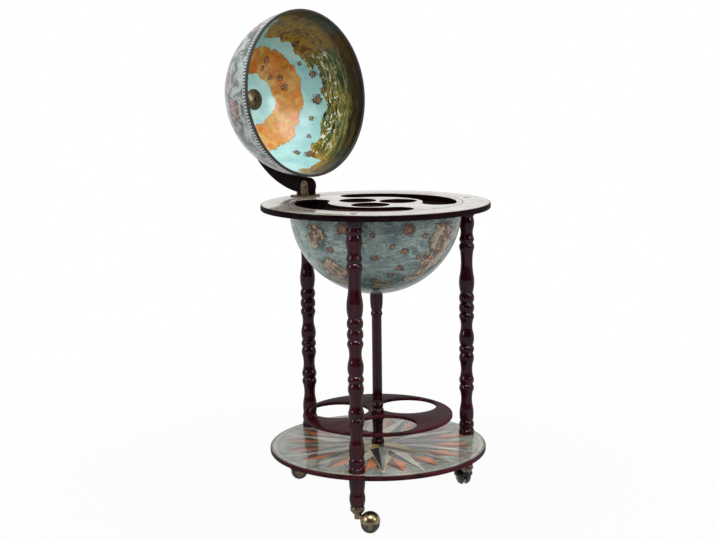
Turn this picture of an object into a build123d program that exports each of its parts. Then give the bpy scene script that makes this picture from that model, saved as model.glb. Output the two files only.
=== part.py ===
from build123d import *
import os
from math import asin, atan2, cos, degrees, radians, sin, sqrt

# A floor-standing globe bar on three ball casters.
# Frame: +Z up, floor at Z = 0, origin on the bar's middle axis, lid hinge at +Y.
# The lid is modelled standing open on its stop, as the bar is used.
# All sizes are in millimetres, all angles in degrees.

# ---- globe ----------------------------------------------------------------
GLOBE_R = 165.0                  # outside radius of the two halves
LID_WALL = 4.0                   # pressed fibre wall of the upper half
BOWL_WALL = 4.0                  # the same, of the lower half
LID_EDGE_HEIGHT = 3.0            # black edging ring round the lid's mouth
LID_EDGE_LIP = 0.6               # how far the edging stands out on both sides
LID_SEAT_GAP = 0.4               # closed lid over the tray

# ---- heights --------------------------------------------------------------
RING_TOP = 591.0                 # table ring, upper face above the floor
SHELF_TOP = 113.5                # lower shelf, upper face above the floor
RING_THICKNESS = 11.0
SHELF_THICKNESS = 9.0
RING_WIDTH = 53.0                # from the tray's edge out to the ring's
SHELF_MARGIN = 24.0              # from the legs' axes out to the shelf's edge
BOARD_ROUND = 2.0                # rounding of the boards' edges

# ---- tray in the ring's opening -------------------------------------------
TRAY_MARGIN = 2.0                # tray's edge outside the globe
TRAY_THICKNESS = 5.0
TRAY_GAP = 0.6                   # open joint between tray and ring
LEDGE_WIDTH = 10.5               # ledge that carries the tray
RIM_GROOVE_DEPTH = 3.0           # groove under the ledge for the bowl's rim
RIM_GROOVE_PLAY = 0.1
SLOT_WIDTH = 64.0                # two curved glass slots
SLOT_FROM_LEDGE = 1.5            # slots' outer edge, inside the ledge's
SLOT_SPAN = 120.0                # angle between a slot's first and last glass
WELL_WEB = 7.7                   # wood between two of the three bottle wells
WELL_TO_SLOT = 9.0               # wells' outermost point to the slots' inner edge

# ---- boards inside the bowl -----------------------------------------------
GLASS_BOARD_DROP = 60.0          # its upper face below the ring's
GLASS_BOARD_THICKNESS = 4.0
BOTTLE_BOARD_RISE = 24.4         # its underside above the bowl's floor
BOTTLE_BOARD_THICKNESS = 5.0
BOARD_EDGE_PLAY = 0.15           # between a board's lower edge and the bowl

# ---- legs and feet ----------------------------------------------------------
LEG_INSET = 32.0                 # legs' axes, in from the ring's edge
LEG_R = 15.3                     # collars at both ends of a leg
LEG_NAMES = ("back", "left", "right")
BACK_LEG_ANGLE = 90.0
FOOT_R = 15.3
FERRULE_TOP = 48.5               # where the wooden foot enters its brass cup
LEG_BOLT_R = 3.0
LEG_BOLT_LENGTH = 34.0
LEG_BOLT_HEAD_R = 7.6
LEG_BOLT_HEAD_HEIGHT = 3.0
INSERT_R = 5.0
INSERT_LENGTH = 26.0
STUD_R = 4.0
STUD_IN_LEG = 30.0
STUD_IN_FOOT = 18.0
BOLT_PLAY = 0.2                  # bolts and studs in plain board holes

# ---- centre post and bottle plate -------------------------------------------
PLATE_TOP_OVER_SHELF = 61.2
PLATE_THICKNESS = 6.5
PLATE_R = 147.0
PLATE_RIM = 8.5                  # wood outside the plate's three holes
PLATE_WEB = 21.6                 # wood between two of them
PLATE_TURN = 24.0                # the plate's holes, turned from the legs
PLATE_ROUND = 2.4
POST_R = 12.4
POST_STUD_R = 4.0
POST_STUD_REACH = 25.0
POST_SCREW_R = 3.0
POST_SCREW_REACH = 32.0
POST_SCREW_HEAD_R = 6.5
POST_SCREW_HEAD_HEIGHT = 3.5
POST_WASHER_R = 11.0
POST_WASHER_THICKNESS = 1.2
BOWL_FLAT = 0.6                  # flats ground on the bowl's pole, in and out

# ---- hinge --------------------------------------------------------------------
PIVOT_FROM_GLOBE = 16.0          # hinge pin, out from the globe
PIVOT_OVER_RING = 22.5
LID_OPEN_ANGLE = 95.2
PIN_R = 4.0
PIN_PLAY = 0.05
PIN_HEAD_R = 6.0
PIN_HEAD_HEIGHT = 2.0
EAR_THICKNESS = 3.0
EAR_R = 10.0
EAR_GAP = 0.4                    # ear to arm
HINGE_PLATE_THICKNESS = 2.5
HINGE_PLATE_WIDTH = 50.0
HINGE_PLATE_LENGTH = 39.0
HINGE_PLATE_OFFSET = 8.5         # its middle, out from the pin
HINGE_PLATE_CORNER_R = 4.0
HINGE_SCREW_R = 1.8
HINGE_SCREW_LENGTH = 8.0
HINGE_SCREW_HEAD_R = 3.4
HINGE_SCREW_HEAD_HEIGHT = 1.6
HINGE_SCREW_INSET = 5.5          # screw axis from the plate's edges
STOP_LENGTH = 5.0
STOP_WIDTH = 12.0
STOP_GAP = 0.3                   # arm over the stop, lid open

# ---- meridian arm -----------------------------------------------------------
ARM_WIDTH = 32.0                 # across, away from the globe
ARM_THICKNESS = 16.0
ARM_GAP = 3.0                    # arm to globe, filled at the pole by a washer
ARM_ROUND = 2.0
ARM_PAST_POLE = 17.0
POLE_BOLT_R = 4.0
POLE_BOLT_PLAY = 0.05
POLE_WASHER_R = 12.0
WASHER_SEAT_PLAY = 0.5           # flat seat for the washer, cut into the arm
BOSS_R = 21.5                    # brass dome inside the lid, at the pole
BOSS_HEIGHT = 8.0
BOSS_BULGE = 1.5
POLE_HEAD_R = 5.2
POLE_HEAD_HEIGHT = 4.5
POLE_HEAD_ROUND = 1.5
POLE_HEAD_GAP = 0.3
FINIAL_R = 9.0
FINIAL_HEIGHT = 16.2
POLE_BOLT_PAST_ARM = 7.2         # thread inside the finial

# ---- ball casters -----------------------------------------------------------
CASTER_TRAIL = 24.4              # ball behind the swivel stem
CASTER_TURNS = {"back": 136.0, "left": -66.0, "right": 54.0}
WHEEL_R = 17.0
WHEEL_INNER_FACE = 2.9           # from the ball's middle plane
WHEEL_TREAD_EDGE = 4.5
WHEEL_OUTER_FACE = 11.5
WHEEL_FACE_R = 13.2
HUB_CAP_R = 10.6
HUB_CAP_RISE = 3.2
HOOD_R = 18.8
HOOD_WALL = 1.2
HOOD_MIDDLE = 22.2               # height of the hood's ball centre
HOOD_SKIRT = 1.2
WEB_HALF = 2.2                   # hood's middle web, half thickness
WEB_WIDTH = 14.0                 # also the width of its eye round the axle
AXLE_R = 2.0
AXLE_PLAY = 0.05
NECK_R = 6.3
NECK_BOTTOM = 24.5
NECK_TOP = 33.2
LUG_HALF = 4.5                   # cast lug from the neck into the hood, half width
LUG_TOP = 32.4
FERRULE_BOTTOM = 33.5
FERRULE_R = 13.4
FERRULE_RIM_R = 12.4
FERRULE_TIP_R = 7.2
FERRULE_FLOOR = 41.0             # where the foot's spigot stands in the cup
FERRULE_BELLY = 44.5
SPIGOT_R = 11.0
SPIGOT_STEP = 0.6
SLEEVE_R = 5.5
SLEEVE_TOP = 78.0
STEM_R = 4.0
STEM_PLAY = 0.05
STEM_TOP = 76.0

# ---- worked out from the sizes above ------------------------------------------
def three_holes(reach, web):
    """Radius and pitch radius of three holes that reach out to a circle, a web apart."""
    pitch = (web + 2 * reach) / (2 + sqrt(3))
    return reach - pitch, pitch


TRAY_R = GLOBE_R + TRAY_MARGIN
RING_R = TRAY_R + RING_WIDTH
LEDGE_R = TRAY_R - LEDGE_WIDTH   # the ledge's inner edge
SLOT_PITCH_R = LEDGE_R - SLOT_FROM_LEDGE - SLOT_WIDTH / 2
WELL_R, WELL_PITCH_R = three_holes(SLOT_PITCH_R - SLOT_WIDTH / 2 - WELL_TO_SLOT, WELL_WEB)
PLATE_HOLE_R, PLATE_HOLE_PITCH_R = three_holes(PLATE_R - PLATE_RIM, PLATE_WEB)
LEG_PITCH_R = RING_R - LEG_INSET
LEG_ANGLES = {name: BACK_LEG_ANGLE + n * 360 / 3 for n, name in enumerate(LEG_NAMES)}
SHELF_R = LEG_PITCH_R + SHELF_MARGIN
RING_BOTTOM = RING_TOP - RING_THICKNESS
SHELF_BOTTOM = SHELF_TOP - SHELF_THICKNESS
LEDGE_TOP = RING_TOP - TRAY_THICKNESS
BOWL_CENTRE = RING_BOTTOM
BOWL_IN_R = GLOBE_R - BOWL_WALL
LID_IN_R = GLOBE_R - LID_WALL
LID_CENTRE_SHUT = RING_TOP + LID_SEAT_GAP
BOWL_BOTTOM = BOWL_CENTRE - GLOBE_R + BOWL_FLAT
BOWL_FLOOR = BOWL_CENTRE - BOWL_IN_R + BOWL_FLAT
PIVOT_Y = GLOBE_R + PIVOT_FROM_GLOBE
PIVOT_Z = RING_TOP + PIVOT_OVER_RING
HINGE_PLATE_Y = PIVOT_Y + HINGE_PLATE_OFFSET
ARM_IN_R = GLOBE_R + ARM_GAP
ARM_OUT_R = ARM_IN_R + ARM_WIDTH
PLATE_TOP = SHELF_TOP + PLATE_TOP_OVER_SHELF
PLATE_BOTTOM = PLATE_TOP - PLATE_THICKNESS


# ---- helpers ----------------------------------------------------------------
def upright(radius, bottom, top):
    """A cylinder on the middle axis between two heights."""
    rod = Cylinder(radius, top - bottom, align=(Align.CENTER, Align.CENTER, Align.MIN))
    return Pos(0, 0, bottom) * rod


def block(x0, x1, y0, y1, z0, z1):
    """A box between two corners."""
    box = Box(x1 - x0, y1 - y0, z1 - z0)
    return Pos((x0 + x1) / 2, (y0 + y1) / 2, (z0 + z1) / 2) * box


def turned(start, steps):
    """A solid turned about Z.

    start is (radius, height). Each step is (rise, radius at its end, bulge): a straight
    side where the bulge is 0, else an arc that stands out (or, negative, in) by the bulge.
    """
    with BuildSketch(Plane.XZ) as profile:
        with BuildLine():
            radius, height = start
            Line((0, height), (radius, height))
            for rise, end_radius, bulge in steps:
                here = (radius, height)
                radius, height = end_radius, height + rise
                if bulge:
                    SagittaArc(here, (radius, height), -bulge)
                else:
                    Line(here, (radius, height))
            Line((radius, height), (0, height))
            Line((0, height), (0, start[1]))
        make_face()
    return revolve(profile.sketch, Axis.Z)


def fitted(steps, height, radius):
    """Turned steps, stretched to a total height and to a largest radius."""
    taller = height / sum(step[0] for step in steps)
    wider = radius / max(step[1] for step in steps)
    return [(rise * taller, end * wider, bulge * wider) for rise, end, bulge in steps]


def round_at(solid, heights, radius):
    """Rounds the circular edges of a solid that lie at the given heights and furthest out."""
    edges = []
    circles = solid.edges().filter_by(GeomType.CIRCLE)
    for height in heights:
        level = [e for e in circles if abs(e.center().Z - height) < 0.01]
        edges.append(max(level, key=lambda e: e.length))
    return fillet(edges, radius)


def half_globe(outer, wall, centre_z, upper):
    """A hemispherical shell with its centre at centre_z."""
    shell = Pos(0, 0, centre_z) * (Sphere(outer) - Sphere(outer - wall))
    reach = 2 * outer
    low, high = (centre_z, centre_z + reach) if upper else (centre_z - reach, centre_z)
    return shell & block(-reach, reach, -reach, reach, low, high)


def around(radius, angle):
    """A place on a circle about the middle axis."""
    return Pos(radius * cos(radians(angle)), radius * sin(radians(angle)), 0)


def opened(shape):
    """Moves a piece of the lid or its arm from shut to standing open."""
    hinge = Axis((0, PIVOT_Y, PIVOT_Z), (1, 0, 0))
    return shape.rotate(hinge, -LID_OPEN_ANGLE)


# ---- boards -------------------------------------------------------------------
def well_places():
    """The three bottle wells, one in front of each leg."""
    return [around(WELL_PITCH_R, angle) for angle in LEG_ANGLES.values()]


def ring_board():
    """Table ring: carries the tray on a ledge and the bowl in a groove below it."""
    ring = upright(RING_R, RING_BOTTOM, RING_TOP)
    ring = round_at(ring, [RING_BOTTOM, RING_TOP], BOARD_ROUND)
    ring -= upright(TRAY_R + TRAY_GAP, LEDGE_TOP, RING_TOP)
    ring -= upright(LEDGE_R, RING_BOTTOM, RING_TOP)
    groove = upright(GLOBE_R + RIM_GROOVE_PLAY, RING_BOTTOM, RING_BOTTOM + RIM_GROOVE_DEPTH)
    groove -= upright(BOWL_IN_R - RIM_GROOVE_PLAY, RING_BOTTOM, RING_BOTTOM + RIM_GROOVE_DEPTH)
    ring -= groove
    for angle in LEG_ANGLES.values():
        place = around(LEG_PITCH_R, angle)
        ring -= place * upright(LEG_BOLT_R + BOLT_PLAY, RING_BOTTOM, RING_TOP)
        ring -= place * upright(LEG_BOLT_HEAD_R + BOLT_PLAY, RING_TOP - LEG_BOLT_HEAD_HEIGHT, RING_TOP)
    for place in hinge_screw_places():
        ring -= place * upright(HINGE_SCREW_R, RING_TOP - HINGE_SCREW_LENGTH, RING_TOP)
    return ring


def glass_slot(middle_angle):
    """A curved slot with round ends, cut through the tray."""
    arc = CenterArc((0, 0), SLOT_PITCH_R, middle_angle - SLOT_SPAN / 2, SLOT_SPAN)
    face = SlotArc(arc, SLOT_WIDTH)
    return Pos(0, 0, LEDGE_TOP) * extrude(face, TRAY_THICKNESS)


def tray():
    """Printed tray: two curved glass slots and three bottle wells."""
    board = upright(TRAY_R, LEDGE_TOP, RING_TOP)
    for middle in (0, 180):
        board -= glass_slot(middle)
    for place in well_places():
        board -= place * upright(WELL_R, LEDGE_TOP, RING_TOP)
    return board


def bowl_board(bottom, thickness):
    """A round board that rests with its lower edge on the inside of the bowl."""
    radius = sqrt(BOWL_IN_R ** 2 - (BOWL_CENTRE - bottom) ** 2) - BOARD_EDGE_PLAY
    return upright(radius, bottom, bottom + thickness)


def glass_board():
    """Board that the glasses' feet stand on; the bottles pass through it."""
    bottom = RING_TOP - GLASS_BOARD_DROP - GLASS_BOARD_THICKNESS
    board = bowl_board(bottom, GLASS_BOARD_THICKNESS)
    for place in well_places():
        board -= place * upright(WELL_R, 0, RING_TOP)
    return board


def bottle_board():
    """Small board low in the bowl that the bottles stand on."""
    return bowl_board(BOWL_FLOOR + BOTTLE_BOARD_RISE, BOTTLE_BOARD_THICKNESS)


def lower_bowl():
    """Lower half globe; its rim goes up into the ring's groove."""
    bowl = half_globe(GLOBE_R, BOWL_WALL, BOWL_CENTRE, upper=False)
    rim_top = RING_BOTTOM + RIM_GROOVE_DEPTH - RIM_GROOVE_PLAY
    bowl += upright(GLOBE_R, RING_BOTTOM, rim_top) - upright(BOWL_IN_R, RING_BOTTOM, rim_top)
    bowl &= upright(2 * GLOBE_R, BOWL_BOTTOM, RING_TOP)
    middle_of_wall = Pos(0, 0, BOWL_CENTRE) * Sphere(BOWL_IN_R + BOWL_WALL / 2)
    bowl += upright(GLOBE_R, BOWL_BOTTOM, BOWL_FLOOR) & middle_of_wall
    return bowl - upright(POST_SCREW_R + BOLT_PLAY, 0, RING_TOP)


def shelf_board():
    """Lower shelf: studs through it join the legs to the feet."""
    shelf = upright(SHELF_R, SHELF_BOTTOM, SHELF_TOP)
    shelf = round_at(shelf, [SHELF_BOTTOM, SHELF_TOP], BOARD_ROUND)
    for angle in LEG_ANGLES.values():
        shelf -= around(LEG_PITCH_R, angle) * upright(STUD_R + BOLT_PLAY, SHELF_BOTTOM, SHELF_TOP)
    shelf -= upright(POST_SCREW_R + BOLT_PLAY, SHELF_BOTTOM, SHELF_TOP)
    shelf -= upright(POST_SCREW_HEAD_R + BOLT_PLAY, SHELF_BOTTOM, SHELF_BOTTOM + POST_SCREW_HEAD_HEIGHT)
    return shelf


# ---- legs and feet ------------------------------------------------------------
# Beads, coves, vases and the long waist of a leg, from the shelf up.
LEG_TURNING = [
    (8.5, 15.3, 0), (5.5, 13.6, -0.6), (13.5, 12.4, 1.9), (2.5, 13.4, 0), (26.0, 13.0, 1.0),
    (33.0, 13.0, -2.0), (13.5, 12.4, 2.1), (2.5, 13.0, 0), (13.0, 13.3, 1.6), (31.0, 13.3, -1.9),
    (18.5, 12.2, 2.0), (14.5, 12.2, 2.8), (27.0, 13.2, 2.2), (25.5, 13.2, -1.8), (14.0, 12.2, 2.2),
    (20.0, 12.2, 2.9), (20.0, 12.2, 2.9), (38.0, 13.4, 2.4), (47.0, 13.3, -1.8), (15.0, 12.4, 2.2),
    (2.0, 12.8, 0), (10.0, 13.2, 1.6), (17.0, 13.2, -1.1), (22.0, 12.8, 1.8), (13.0, 13.0, 1.9),
    (5.0, 15.3, -0.5), (9.0, 15.3, 0),
]
FOOT_TURNING = [(4.5, 13.4, 0.5), (20.0, 13.6, 1.4), (9.0, 14.0, -0.5), (22.5, 15.3, 0.3)]
POST_TURNING = [
    (7.0, 12.4, 0), (5.0, 10.4, -0.6), (9.0, 10.0, 1.4), (14.0, 9.6, -0.3), (158.9, 9.6, 0),
    (10.0, 10.0, 1.6), (6.0, 11.2, -0.6), (26.0, 12.4, 0.5), (5.0, 12.4, 0),
]
POST_FOOT_TURNING = [
    (7.0, 12.4, 0), (5.0, 10.4, -0.6), (30.7, 10.4, -0.8), (6.0, 12.4, -0.6), (6.0, 12.4, 0),
]
FINIAL_TURNING = [(2.5, 9.0, 0), (2.0, 5.6, -0.5), (6.3, 6.5, 1.2), (5.4, 1.4, 1.0)]


def leg():
    """Turned leg, with a metal insert let into its top and a stud hole in its foot."""
    wood = turned((LEG_R, SHELF_TOP), fitted(LEG_TURNING, RING_BOTTOM - SHELF_TOP, LEG_R))
    wood -= upright(INSERT_R, RING_BOTTOM - INSERT_LENGTH, RING_BOTTOM)
    wood -= upright(LEG_BOLT_R + BOLT_PLAY, RING_TOP - LEG_BOLT_LENGTH, RING_BOTTOM)
    wood -= upright(STUD_R, SHELF_TOP, SHELF_TOP + STUD_IN_LEG)
    return wood


def foot():
    """Turned foot under the shelf, with a spigot that stands in the brass cup."""
    spigot = [(FERRULE_TOP - FERRULE_FLOOR, SPIGOT_R, 0), (0, SPIGOT_R + SPIGOT_STEP, 0)]
    shaft = fitted(FOOT_TURNING, SHELF_BOTTOM - FERRULE_TOP, FOOT_R)
    wood = turned((SPIGOT_R, FERRULE_FLOOR), spigot + shaft)
    wood -= upright(SLEEVE_R, FERRULE_FLOOR, SLEEVE_TOP)
    wood -= upright(STUD_R, SHELF_BOTTOM - STUD_IN_FOOT, SHELF_BOTTOM)
    return wood


def leg_bolt():
    """Flat-headed bolt, flush in the ring, screwed into the leg's insert."""
    head = upright(LEG_BOLT_HEAD_R, RING_TOP - LEG_BOLT_HEAD_HEIGHT, RING_TOP)
    head -= Pos(0, 0, RING_TOP - LEG_BOLT_HEAD_HEIGHT / 2) * extrude(
        RegularPolygon(LEG_BOLT_R, 6), LEG_BOLT_HEAD_HEIGHT)
    return head + upright(LEG_BOLT_R, RING_TOP - LEG_BOLT_LENGTH, RING_TOP - LEG_BOLT_HEAD_HEIGHT)


def leg_insert():
    """Threaded insert in a leg's top."""
    insert = upright(INSERT_R, RING_BOTTOM - INSERT_LENGTH, RING_BOTTOM)
    return insert - upright(LEG_BOLT_R, RING_BOTTOM - INSERT_LENGTH, RING_BOTTOM)


def shelf_stud():
    """Double-ended stud that joins leg, shelf and foot."""
    return upright(STUD_R, SHELF_BOTTOM - STUD_IN_FOOT, SHELF_TOP + STUD_IN_LEG)


# ---- centre post and bottle plate ---------------------------------------------
def bottle_plate():
    """Round plate with three bottle holes, clamped on the centre post."""
    plate = upright(PLATE_R, PLATE_BOTTOM, PLATE_TOP)
    plate = round_at(plate, [PLATE_BOTTOM, PLATE_TOP], PLATE_ROUND)
    for angle in LEG_ANGLES.values():
        place = around(PLATE_HOLE_PITCH_R, angle + PLATE_TURN)
        plate -= place * upright(PLATE_HOLE_R, PLATE_BOTTOM, PLATE_TOP)
    return plate - upright(POST_STUD_R + BOLT_PLAY, PLATE_BOTTOM, PLATE_TOP)


def centre_post():
    """Turned post from the bottle plate up to the bottom of the bowl."""
    wood = turned((POST_R, PLATE_TOP), fitted(POST_TURNING, BOWL_BOTTOM - PLATE_TOP, POST_R))
    wood -= upright(POST_STUD_R, PLATE_TOP, PLATE_TOP + POST_STUD_REACH)
    return wood - upright(POST_SCREW_R, BOWL_BOTTOM - POST_SCREW_REACH, BOWL_BOTTOM)


def post_foot():
    """Short turned length of the post, between the shelf and the plate."""
    wood = turned((POST_R, SHELF_TOP), fitted(POST_FOOT_TURNING, PLATE_BOTTOM - SHELF_TOP, POST_R))
    wood -= upright(POST_STUD_R, PLATE_BOTTOM - POST_STUD_REACH, PLATE_BOTTOM)
    return wood - upright(POST_SCREW_R, SHELF_TOP, SHELF_TOP + post_screw_hold())


def post_screw_hold():
    """How far the lower screw reaches into the post's foot, short of the stud."""
    return PLATE_BOTTOM - SHELF_TOP - POST_STUD_REACH - POST_SCREW_R


def post_stud():
    """Stud through the bottle plate's hub that joins both lengths of the post."""
    return upright(POST_STUD_R, PLATE_BOTTOM - POST_STUD_REACH, PLATE_TOP + POST_STUD_REACH)


def post_top_washer():
    """Washer under the screw head inside the bowl."""
    return upright(POST_WASHER_R, BOWL_FLOOR, BOWL_FLOOR + POST_WASHER_THICKNESS) - upright(
        POST_SCREW_R + BOLT_PLAY, BOWL_FLOOR, BOWL_FLOOR + POST_WASHER_THICKNESS)


def post_screws():
    """Upper screw, down through the bowl, and lower screw, up through the shelf."""
    seat = BOWL_FLOOR + POST_WASHER_THICKNESS
    upper = upright(POST_SCREW_HEAD_R, seat, seat + POST_SCREW_HEAD_HEIGHT)
    upper += upright(POST_SCREW_R, BOWL_BOTTOM - POST_SCREW_REACH, seat)
    lower = upright(POST_SCREW_HEAD_R, SHELF_BOTTOM, SHELF_BOTTOM + POST_SCREW_HEAD_HEIGHT)
    lower += upright(POST_SCREW_R, SHELF_BOTTOM, SHELF_TOP + post_screw_hold())
    return [upper, lower]


# ---- hinge ----------------------------------------------------------------------
def hinge_screw_places():
    """The four screw places in the corners of the hinge plate."""
    x = HINGE_PLATE_WIDTH / 2 - HINGE_SCREW_INSET
    y = HINGE_PLATE_LENGTH / 2 - HINGE_SCREW_INSET
    return [Pos(sx * x, HINGE_PLATE_Y + sy * y, 0) for sx in (-1, 1) for sy in (-1, 1)]


def arm_underside(y):
    """Height of the open arm's outer edge above the floor, at a distance y from the middle axis."""
    centre = lid_centre_open()
    return centre.Z - sqrt(ARM_OUT_R ** 2 - (y - centre.Y) ** 2)


def hinge_bracket():
    """Plate on the ring with two ears for the pin and a stop that the open arm rests on."""
    top = RING_TOP + HINGE_PLATE_THICKNESS
    half = HINGE_PLATE_LENGTH / 2
    side = HINGE_PLATE_WIDTH / 2
    bracket = block(-side, side, HINGE_PLATE_Y - half, HINGE_PLATE_Y + half, RING_TOP, top)
    bracket = fillet(bracket.edges().filter_by(Axis.Z), HINGE_PLATE_CORNER_R)
    inner = ARM_THICKNESS / 2 + EAR_GAP
    for sign in (-1, 1):
        x0, x1 = sorted((sign * inner, sign * (inner + EAR_THICKNESS)))
        ear = block(x0, x1, PIVOT_Y - EAR_R, PIVOT_Y + EAR_R, RING_TOP, PIVOT_Z)
        round_top = Rot(0, 90, 0) * Cylinder(EAR_R, EAR_THICKNESS)
        bracket += ear + Pos((x0 + x1) / 2, PIVOT_Y, PIVOT_Z) * round_top
    stop_end = HINGE_PLATE_Y + half
    stop_start = stop_end - STOP_LENGTH
    stop_top = arm_underside(stop_start) - STOP_GAP
    bracket += block(-STOP_WIDTH / 2, STOP_WIDTH / 2, stop_start, stop_end, RING_TOP, stop_top)
    bracket -= Pos(0, PIVOT_Y, PIVOT_Z) * (Rot(0, 90, 0) * Cylinder(PIN_R, HINGE_PLATE_WIDTH))
    for place in hinge_screw_places():
        bracket -= place * upright(HINGE_SCREW_R + BOLT_PLAY, RING_TOP, top)
        bracket -= place * upright(HINGE_SCREW_HEAD_R + BOLT_PLAY, top - HINGE_SCREW_HEAD_HEIGHT, top)
    return bracket


def hinge_pin():
    """Headed pin, tight in the ears."""
    half = ARM_THICKNESS / 2 + EAR_GAP + EAR_THICKNESS
    pin = Cylinder(PIN_R, 2 * half)
    for sign in (-1, 1):
        pin += Pos(0, 0, sign * (half + PIN_HEAD_HEIGHT / 2)) * Cylinder(PIN_HEAD_R, PIN_HEAD_HEIGHT)
    return Pos(0, PIVOT_Y, PIVOT_Z) * (Rot(0, 90, 0) * pin)


def hinge_screw():
    """Wood screw, its head sunk flush in the hinge plate."""
    top = RING_TOP + HINGE_PLATE_THICKNESS
    head = upright(HINGE_SCREW_HEAD_R, top - HINGE_SCREW_HEAD_HEIGHT, top)
    return head + upright(HINGE_SCREW_R, RING_TOP - HINGE_SCREW_LENGTH, top - HINGE_SCREW_HEAD_HEIGHT)


# ---- lid and its arm, built shut and then opened ----------------------------------
def lid_centre_open():
    """Centre of the lid's mouth with the lid open."""
    angle = radians(LID_OPEN_ANGLE)
    dy, dz = -PIVOT_Y, LID_CENTRE_SHUT - PIVOT_Z
    y = PIVOT_Y + dy * cos(angle) + dz * sin(angle)
    return Vector(0, y, PIVOT_Z - dy * sin(angle) + dz * cos(angle))


def pole(radius, bottom, top):
    """A cylinder on the lid's pole, from bottom to top out from the globe's centre."""
    return upright(radius, LID_CENTRE_SHUT + bottom, LID_CENTRE_SHUT + top)


def lid_shell():
    """Upper half globe."""
    shell = half_globe(GLOBE_R, LID_WALL, LID_CENTRE_SHUT, upper=True)
    shell &= upright(2 * GLOBE_R, LID_CENTRE_SHUT + LID_EDGE_HEIGHT, LID_CENTRE_SHUT + 2 * GLOBE_R)
    return opened(shell - pole(POLE_BOLT_R + POLE_BOLT_PLAY, 0, GLOBE_R + LID_WALL))


def lid_edging():
    """Black ring that finishes the lid's cut edge."""
    ring = pole(GLOBE_R + LID_EDGE_LIP, 0, LID_EDGE_HEIGHT)
    return opened(ring - pole(LID_IN_R - LID_EDGE_LIP, 0, LID_EDGE_HEIGHT))


def lid_boss():
    """Brass dome inside the lid at the pole; its back follows the lid."""
    seat = sqrt(LID_IN_R ** 2 - BOSS_R ** 2)
    with BuildSketch(Plane.XZ) as section:
        with BuildLine():
            inner = (0, LID_IN_R - BOSS_HEIGHT)
            rim = (BOSS_R, seat)
            SagittaArc(rim, inner, BOSS_BULGE)
            Line(inner, (0, LID_IN_R))
            half = degrees(asin(BOSS_R / LID_IN_R)) / 2
            on_lid = (LID_IN_R * sin(radians(half)), LID_IN_R * cos(radians(half)))
            ThreePointArc((0, LID_IN_R), on_lid, rim)
        make_face()
    dome = Pos(0, 0, LID_CENTRE_SHUT) * revolve(section.sketch, Axis.Z)
    dome -= pole(POLE_BOLT_R + POLE_BOLT_PLAY, 0, GLOBE_R)
    return opened(dome)


def lid_arm():
    """Half meridian arm: a flat arc board from the hinge pin over the lid to its pole."""
    pivot_rise = PIVOT_Z - LID_CENTRE_SHUT
    pivot_reach = sqrt(PIVOT_Y ** 2 + pivot_rise ** 2)
    start = degrees(atan2(pivot_rise, PIVOT_Y))
    with BuildSketch(Plane.YZ) as section:
        with BuildLine():
            outer = CenterArc((0, 0), ARM_OUT_R, start, 90 - start)
            inner = CenterArc((0, 0), ARM_IN_R, start, 90 - start)
            outer_end = (ARM_WIDTH / 2 - ARM_PAST_POLE, ARM_OUT_R)
            inner_end = (ARM_WIDTH / 2 - ARM_PAST_POLE, ARM_IN_R)
            Line(outer @ 1, outer_end)
            ThreePointArc(outer_end, (-ARM_PAST_POLE, (ARM_OUT_R + ARM_IN_R) / 2), inner_end)
            Line(inner_end, inner @ 1)
            pole_side = (pivot_reach * cos(radians(start)), pivot_reach * sin(radians(start)))
            heel = Vector(sin(radians(start)), -cos(radians(start))) * (ARM_WIDTH / 2)
            ThreePointArc(outer @ 0, Vector(*pole_side) + heel, inner @ 0)
        make_face()
    board = extrude(section.sketch, ARM_THICKNESS / 2, both=True)
    board = Pos(0, 0, LID_CENTRE_SHUT) * board
    on_a_side = [e for e in board.edges() if abs(abs(e.center().X) - ARM_THICKNESS / 2) < 0.01]
    board = fillet(on_a_side, ARM_ROUND)
    board -= Pos(0, PIVOT_Y, PIVOT_Z) * (Rot(0, 90, 0) * Cylinder(PIN_R + PIN_PLAY, ARM_WIDTH))
    board -= pole(POLE_BOLT_R, GLOBE_R, ARM_OUT_R + ARM_GAP)
    board -= pole(POLE_WASHER_R + WASHER_SEAT_PLAY, GLOBE_R, ARM_IN_R)
    return opened(board)


def pole_washer():
    """Washer that keeps the lid off the arm at the pole."""
    washer = pole(POLE_WASHER_R, GLOBE_R - LID_WALL, ARM_IN_R) - Pos(0, 0, LID_CENTRE_SHUT) * Sphere(
        GLOBE_R + POLE_HEAD_GAP)
    return opened(washer - pole(POLE_BOLT_R, 0, ARM_IN_R))


def pole_bolt():
    """Bolt on the pole that the lid turns on; its dark head shows in the brass dome."""
    under_head = LID_IN_R - BOSS_HEIGHT - POLE_HEAD_GAP
    head = pole(POLE_HEAD_R, under_head - POLE_HEAD_HEIGHT, under_head)
    head = fillet(head.edges().sort_by(Axis.Z)[0], POLE_HEAD_ROUND)
    return opened(head + pole(POLE_BOLT_R, under_head, ARM_OUT_R + POLE_BOLT_PAST_ARM))


def pole_finial():
    """Turned brass nut on the outer end of the pole bolt."""
    start = LID_CENTRE_SHUT + ARM_OUT_R
    nut = turned((FINIAL_R, start), fitted(FINIAL_TURNING, FINIAL_HEIGHT, FINIAL_R))
    return opened(nut - pole(POLE_BOLT_R, ARM_OUT_R, ARM_OUT_R + POLE_BOLT_PAST_ARM))


# ---- ball casters, built at the origin trailing along +X ---------------------------
def across(radius, low, high):
    """A cylinder along the wheel axle, between two distances from the ball's middle plane."""
    rod = Cylinder(radius, high - low, align=(Align.CENTER, Align.CENTER, Align.MIN))
    return Pos(CASTER_TRAIL, 0, WHEEL_R) * (Rot(-90, 0, 0) * (Pos(0, 0, low) * rod))


def on_axle(start, steps):
    """A piece turned about the wheel axle, from the middle plane outwards, and its mirror image."""
    piece = Pos(CASTER_TRAIL, 0, WHEEL_R) * (Rot(-90, 0, 0) * turned(start, steps))
    return [piece, mirror(piece, Plane.XZ)]


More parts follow.
